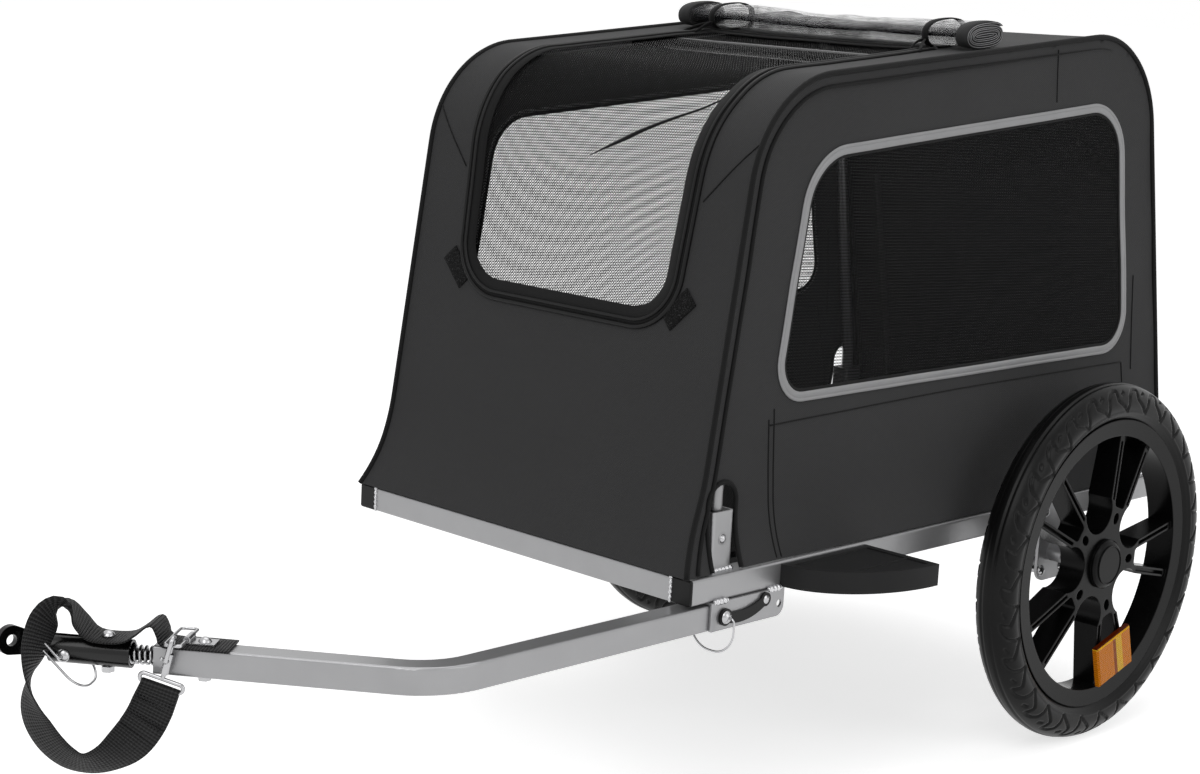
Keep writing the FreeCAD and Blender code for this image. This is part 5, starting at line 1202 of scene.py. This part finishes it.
# Webbing carried up over the hook's bar and back down its own outer face
def strapReturn(line):
    lean = math.radians(strapEnd["lean"])
    up = Vector((-math.sin(lean), 0, math.cos(lean)))
    barWay = Vector((math.cos(lean), 0, math.sin(lean)))
    side = Vector((0, 1, 0))
    bar = Vector(strapEnd["bar"])
    main = [row for row in line if (row[0] - bar).length > strapEnd["veer"]]
    turn = []
    for k in range(strapEnd["wrapSteps"] + 1):
        angle = math.pi * k / strapEnd["wrapSteps"]
        at = bar + (up * math.sin(angle) - side * math.cos(angle)) * strapEnd["wrap"]
        way = up * math.cos(angle) + side * math.sin(angle)
        turn.append((at, barWay * strapEnd["narrow"], way.cross(barWay)))
    tail = []
    run = 0.0
    for (at, across, through), before in zip(main[::-1], main[-2::-1]):
        tail.append((at + side * strapEnd["layer"], across, -through))
        run += (at - before[0]).length
        if run > strapEnd["tail"]:
            break
    return main + turn + tail, turn[-1:] + tail


# Zigzag stitches across the sewn end
def makeStitches(tail):
    width = strap["width"] * stitch["widthShare"]
    face = (strap["thickness"] + stitch["thread"]) / 2
    for number, wanted in enumerate(stitch["places"]):
        run = 0.0
        for (a, across, through), after in zip(tail[:-1], tail[1:]):
            step = (after[0] - a).length
            if run + step >= wanted:
                break
            run += step
        middle = a.lerp(after[0], (wanted - run) / step)
        way = (after[0] - a).normalized()
        path = []
        for k in range(stitch["zigzags"] + 1):
            u = (k / stitch["zigzags"] - 0.5) * width
            spot = middle + across.normalized() * u - through * face
            spot += way * (stitch["half"] * (1 if k % 2 else -1))
            path.append(hitchPoint(*spot))
        tube("strapStitch%d" % number, path, stitch["thread"] * mm, "stitch", rootBody, sides=6)


def makeStrap():
    line, tail = strapReturn(strapLine(strapStations, strap["step"]))
    piece, length = webbingStrip("safetyStrap", line, strap["width"], strap["thickness"])
    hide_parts("safety_strap")
    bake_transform(piece)
    makeStitches(tail)


makeStrap()
print("strap made")


# Coil spring between the arm and the sleeve

spring = {"wire": 1.3, "radius": 7.6, "turns": 5, "start": 241.0, "armEnd": 247.0, "sleeveStart": 269.0,
          "end": 275.0, "lead": 2.3, "bend": 2.6, "steps": 24, "bendSteps": 4}


def makeSpring():
    radius, bend = spring["radius"], spring["bend"]
    first = spring["start"] + spring["lead"]
    last = spring["end"] - spring["lead"]
    quarter = [math.pi / 2 * k / spring["bendSteps"] for k in range(spring["bendSteps"] + 1)]
    path = [hitchPoint(spring["start"], radius, -bend)]
    for angle in quarter[:-1]:
        path.append(hitchPoint(first + bend * math.sin(angle), radius, -bend * math.cos(angle)))
    count = spring["turns"] * spring["steps"]
    for i in range(count + 1):
        angle = 2 * math.pi * i / spring["steps"]
        reach = first + bend + (last - first - 2 * bend) * i / count
        path.append(hitchPoint(reach, radius * math.cos(angle), radius * math.sin(angle)))
    for angle in quarter[1:]:
        path.append(hitchPoint(last - bend * math.cos(angle), radius, bend * math.sin(angle)))
    path.append(hitchPoint(spring["end"], radius, bend))
    piece = tube("coilSpring", path, spring["wire"] * mm, "zinc", None)
    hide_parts("hitch_spring")
    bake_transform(piece)


makeSpring()
print("spring made")


# Tyres: round casing with moulded tread blocks, shoulder dashes and a sidewall rib

tyre = {"crownRadius": 177.0, "section": 23.0, "wall": 4.0, "lip": 161.7, "bead": 152.7, "beadHalf": 15.0,
        "innerHalf": 11.0, "innerSteps": 14, "sideRun": 12.0, "rowStep": 1.35, "bulge": 0.72, "lean": (0.5, 0.3),
        "blocks": 29, "columns": 28, "ribAt": 41.5, "ribHeight": 1.1, "ribOut": 1.2,
        "grooveDepth": 2.1, "grooveHalf": 1.35, "grooveSoft": (0.45, 1.5),
        "centreGroove": 5.5, "centreDepth": 0.9, "lineSoft": (0.5, 1.5), "smooth": 99.0}
blockEdge = ((0, 0), (2.5, 10), (6, 18), (13, 23.5), (20, 25.5), (24.5, 25), (22.5, 20), (21, 14), (25, 11),
             (33, 6), (41, 0))
shoulderDash = ((32, 20), (36.5, 22))


def segmentDistance(p, a, b):
    way = (b[0] - a[0], b[1] - a[1])
    share = ((p[0] - a[0]) * way[0] + (p[1] - a[1]) * way[1]) / (way[0] ** 2 + way[1] ** 2)
    share = max(0.0, min(1.0, share))
    return math.dist(p, (a[0] + way[0] * share, a[1] + way[1] * share))


# 1 on a line and 0 away from it, falling between two distances
def nearLine(distance, low, high):
    share = max(0.0, min(1.0, (distance - low) / (high - low)))
    return 1 - share * share * (3 - 2 * share)


# Height of the moulding: place round the tyre within one block, and length from the crown
def treadHeight(turnPlace, fromCrown):
    inward = tyre["ribAt"] - abs(fromCrown)
    length = blockEdge[-1][0]
    if fromCrown < 0:
        turnPlace = (turnPlace + length / 2) % length
    nearest = tyre["smooth"]
    for path in (blockEdge, shoulderDash):
        for shift in (-length, 0, length):
            spot = (turnPlace + shift, inward)
            for a, b in zip(path[:-1], path[1:]):
                nearest = min(nearest, segmentDistance(spot, a, b))
    soft = [tyre["grooveHalf"] * share for share in tyre["grooveSoft"]]
    height = -tyre["grooveDepth"] * nearLine(nearest, *soft) if inward > 0 else 0.0
    centre = abs(abs(fromCrown) - tyre["centreGroove"])
    height = min(height, -tyre["centreDepth"] * nearLine(centre, *tyre["lineSoft"]))
    rib = abs(abs(fromCrown) - tyre["ribAt"] - tyre["ribOut"])
    return height + tyre["ribHeight"] * nearLine(rib, *tyre["lineSoft"])


# Half of the casing's section: radius, across, length from the crown and outward normal
def tyreSection():
    section, crown, bead = tyre["section"], tyre["crownRadius"], tyre["beadHalf"]
    quarter = section * math.pi / 2
    drop = crown - tyre["lip"]
    rows = [(tyre["bead"], bead, tyre["smooth"], 0, 1), (tyre["lip"], bead, tyre["smooth"], 0, 1)]
    run = quarter + tyre["sideRun"]
    for k in range(int(run / tyre["rowStep"]) + 1):
        fromCrown = run - tyre["rowStep"] * k
        if fromCrown <= quarter:
            cosine, sine = math.cos(fromCrown / section), math.sin(fromCrown / section)
            rows.append((crown + section * cosine, section * sine, fromCrown, cosine, sine))
        else:
            fall = min(1.0, (fromCrown - quarter) / drop)
            bulge = math.sin(math.pi / 2 * (1 - fall) ** tyre["bulge"])
            across = bead + (section - bead) * bulge
            lean, loss = (share * fall for share in tyre["lean"])
            rows.append((crown - drop * fall, across, fromCrown, -lean, 1 - loss))
    return rows


def makeTyres():
    rows = tyreSection()
    rows += [(r, -a, -m, n, -t) for r, a, m, n, t in reversed(rows)]
    narrow = tyre["section"] - tyre["wall"]
    rows.append((tyre["bead"], -tyre["innerHalf"], tyre["smooth"], 0, 0))
    for k in range(tyre["innerSteps"] + 1):
        angle = math.pi * (k / tyre["innerSteps"] - 0.5)
        radius = tyre["crownRadius"] + narrow * math.cos(angle)
        rows.append((radius, narrow * math.sin(angle), tyre["smooth"], 0, 0))
    rows.append((tyre["bead"], tyre["innerHalf"], tyre["smooth"], 0, 0))
    columns = tyre["columns"]
    length = blockEdge[-1][0]
    heights = []
    for c in range(columns):
        around = length * c / columns
        heights.append([treadHeight(around, m) if abs(m) < tyre["smooth"] else 0.0 for _, _, m, _, _ in rows])
    total = columns * tyre["blocks"]
    for label, side in bothSides:
        low, high = (Vector(corner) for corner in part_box(label + "_tyre"))
        middle = (low + high) / 2
        points = []
        for c in range(total):
            angle = -side * 2 * math.pi * c / total
            cosine, sine = math.cos(angle), math.sin(angle)
            for (radius, across, _, outward, sideways), height in zip(rows, heights[c % columns]):
                reach = (radius + outward * height) * mm
                stand = side * (across + sideways * height) * mm
                points.append(middle + Vector((stand, reach * cosine, reach * sine)))
        faces = [(a, d, c, b) for a, b, c, d in ringFaces(total, len(rows), True)]
        piece = newPiece(label + "Tyre", points, faces, "tyre", label + "_wheel")
        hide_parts(label + "_tyre")


makeTyres()
print("tyres made")


# Weld beads where tubes, sockets and bracket meet

weld = {"radius": 3.1, "step": 0.8, "ripple": 0.5, "pace": 0.5, "endShare": 0.5, "endRise": 0.25, "lift": 0.6,
        "socketHalf": 14.5, "socketOuter": 228.0, "socketInner": 215.5, "barShare": 0.7,
        "bracketShare": 1.15, "bracketRun": 20.0, "bracketInset": 1.0, "bracketEnd": 4.0}


def weldBead(name, corners, share=1.0):
    path = fillLine(corners, weld["step"] * mm)
    radii = []
    for i in range(len(path)):
        swell = 1 - weld["ripple"] * (1 - abs(math.cos(i * weld["pace"])))
        taper = min(1.0, weld["endShare"] + weld["endRise"] * min(i, len(path) - 1 - i))
        radii.append(weld["radius"] * share * mm * swell * taper)
    tube(name, path, radii, "weld", rootBody, sides=8)


def makeWelds():
    half = weld["socketHalf"]
    outer, inner = weld["socketOuter"], weld["socketInner"]
    for label, side in bothSides:
        for end, back in zip(("front", "rear"), cutout["backs"]):
            spots = ((inner, back - half), (outer, back - half), (outer, back + half), (inner, back + half))
            corners = [place(side * x, y, weld["lift"]) for x, y in spots]
            weldBead("%s_%s_socketWeld" % (label, end), corners)
        for bar in ("front_crossbar", "axle_crossbar", "rear_crossbar"):
            low, high = (Vector(corner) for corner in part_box(bar))
            x = high.x * side
            spots = ((x, low.y, low.z), (x, low.y, high.z), (x, high.y, high.z), (x, high.y, low.z))
            weldBead("%s_%s_weld" % (label, bar), [Vector(spot) for spot in spots], weld["barShare"])
    low, high = (Vector(corner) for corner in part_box("tow_bracket"))
    run, inset, end = (weld[key] * mm for key in ("bracketRun", "bracketInset", "bracketEnd"))
    for label, x in (("inner", low.x + inset), ("outer", high.x - inset)):
        for where, start in (("front", low.y + end), ("rear", high.y - end - run)):
            corners = [Vector((x, start, high.z)), Vector((x, start + run, high.z))]
            weldBead("towBracket_%s_%s_weld" % (label, where), corners, weld["bracketShare"])


makeWelds()
print("welds made")


# Pressed rims round the snap buttons, and a raised ring on each hub cap

rims = {"buttonRim": 5.3, "buttonWire": 0.8, "capShare": 0.78, "capWire": 1.0, "steps": 40}


def ringPath(x, middle, radius):
    turns = [2 * math.pi * k / rims["steps"] for k in range(rims["steps"])]
    return [Vector((x, middle.y + radius * math.cos(turn), middle.z + radius * math.sin(turn))) for turn in turns]


def makeRims():
    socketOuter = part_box("arch_sockets")[1][0]
    for label, side in bothSides:
        for end in ("front", "rear"):
            low, high = (Vector(corner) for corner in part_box("%s_%s_snap_button" % (end, label)))
            path = ringPath(socketOuter * side, (low + high) / 2, rims["buttonRim"] * mm)
            tube("%s_%s_buttonRim" % (label, end), path, rims["buttonWire"] * mm, "silver", rootBody,
                 closed=True)
        low, high = (Vector(corner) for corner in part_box(label + "_hub_cap"))
        face = high.x if side > 0 else low.x
        path = ringPath(face, (low + high) / 2, (high.z - low.z) / 2 * rims["capShare"])
        tube(label + "CapRing", path, rims["capWire"] * mm, "wheel", label + "_wheel", closed=True)


makeRims()
print("rims made")


# Camera as in the photograph, from angles in degrees, a place and a focal length in its pixels

view = {"azimuth": 43.83, "elevation": 10.64, "roll": 3.0, "at": (1653.1, -1609.05, 582.96), "focal": 2359.44,
        "pictureWidth": 1200, "sensor": 36.0}


def makeCamera():
    azimuth, elevation, tilt = (math.radians(view[key]) for key in ("azimuth", "elevation", "roll"))
    back = Vector((math.sin(azimuth) * math.cos(elevation), -math.cos(azimuth) * math.cos(elevation),
                   math.sin(elevation)))
    level = Vector((math.cos(azimuth), math.sin(azimuth), 0))
    upright = back.cross(level)
    right = level * math.cos(tilt) + upright * math.sin(tilt)
    up = upright * math.cos(tilt) - level * math.sin(tilt)
    data = bpy.data.cameras.new("photoCamera")
    data.sensor_fit = "HORIZONTAL"
    data.sensor_width = view["sensor"]
    data.lens = view["focal"] / view["pictureWidth"] * view["sensor"]
    camera = bpy.data.objects.new("photoCamera", data)
    bpy.context.scene.collection.objects.link(camera)
    at = place(*view["at"])
    camera.matrix_world = Matrix([(right[k], up[k], back[k], at[k]) for k in range(3)] + [(0, 0, 0, 1)])
    bpy.context.scene.camera = camera


# White room with a pale floor and three soft lamps
stage = {"roomLight": 0.42, "floorGlow": 0.68, "floorHalf": 30.0, "floorGrey": 0.8, "floorRoughness": 0.9}
lamps = {
    "keyLight": {"at": (1.2, -2.6, 3.2), "target": (0, 0, 0.4), "size": (2.4, 2.4), "power": 40.0},
    "sideLight": {"at": (3.4, 0.6, 1.8), "target": (0, 0.2, 0.4), "size": (2.0, 2.4), "power": 20.0},
    "topLight": {"at": (-0.6, 0.6, 4.0), "target": (0, 0, 0.3), "size": (3.0, 3.0), "power": 36.0},
}
white = (1.0, 1.0, 1.0, 1.0)


def makeLamps():
    for name, lamp in lamps.items():
        data = bpy.data.lights.new(name, "AREA")
        data.shape = "RECTANGLE"
        data.size, data.size_y = lamp["size"]
        data.energy = lamp["power"]
        light = bpy.data.objects.new(name, data)
        bpy.context.scene.collection.objects.link(light)
        light.location = lamp["at"]
        way = Vector(lamp["target"]) - Vector(lamp["at"])
        light.rotation_euler = way.to_track_quat("-Z", "Y").to_euler()


# Rays that see the white room: straight from the camera, mirrored or through clear film
def seenRays(tree):
    path = tree.nodes.new("ShaderNodeLightPath").outputs
    mirrored = mathNode(tree, "MAXIMUM", path["Is Glossy Ray"], path["Is Transmission Ray"])
    return mathNode(tree, "MAXIMUM", path["Is Camera Ray"], mirrored)


def makeRoom():
    world = bpy.data.worlds.new("paleRoom")
    bpy.context.scene.world = world
    world.use_nodes = True
    tree = world.node_tree
    background = tree.nodes["Background"].inputs
    background["Color"].default_value = white
    strength = mathNode(tree, "MULTIPLY_ADD", seenRays(tree), 1 - stage["roomLight"], stage["roomLight"])
    tree.links.new(strength, background["Strength"])


def makeFloor():
    mesh = bpy.data.meshes.new("floor")
    half = stage["floorHalf"]
    corners = [(-half, -half, 0), (half, -half, 0), (half, half, 0), (-half, half, 0)]
    mesh.from_pydata(corners, [], [(0, 1, 2, 3)])
    floor = bpy.data.objects.new("floor", mesh)
    bpy.context.scene.collection.objects.link(floor)
    material, tree, shader = newMaterial("paleFloor")
    tone = stage["floorGrey"]
    setShader(shader, colour=(tone, tone, tone, 1.0), roughness=stage["floorRoughness"], gloss=0.0, glow=white)
    glow = mathNode(tree, "MULTIPLY", seenRays(tree), stage["floorGlow"])
    tree.links.new(glow, shader.inputs["Emission Strength"])
    setMaterial(floor, material)


makeCamera()
makeRoom()
makeFloor()
makeLamps()
bpy.context.scene.view_settings.view_transform = "Standard"
print("stage set")
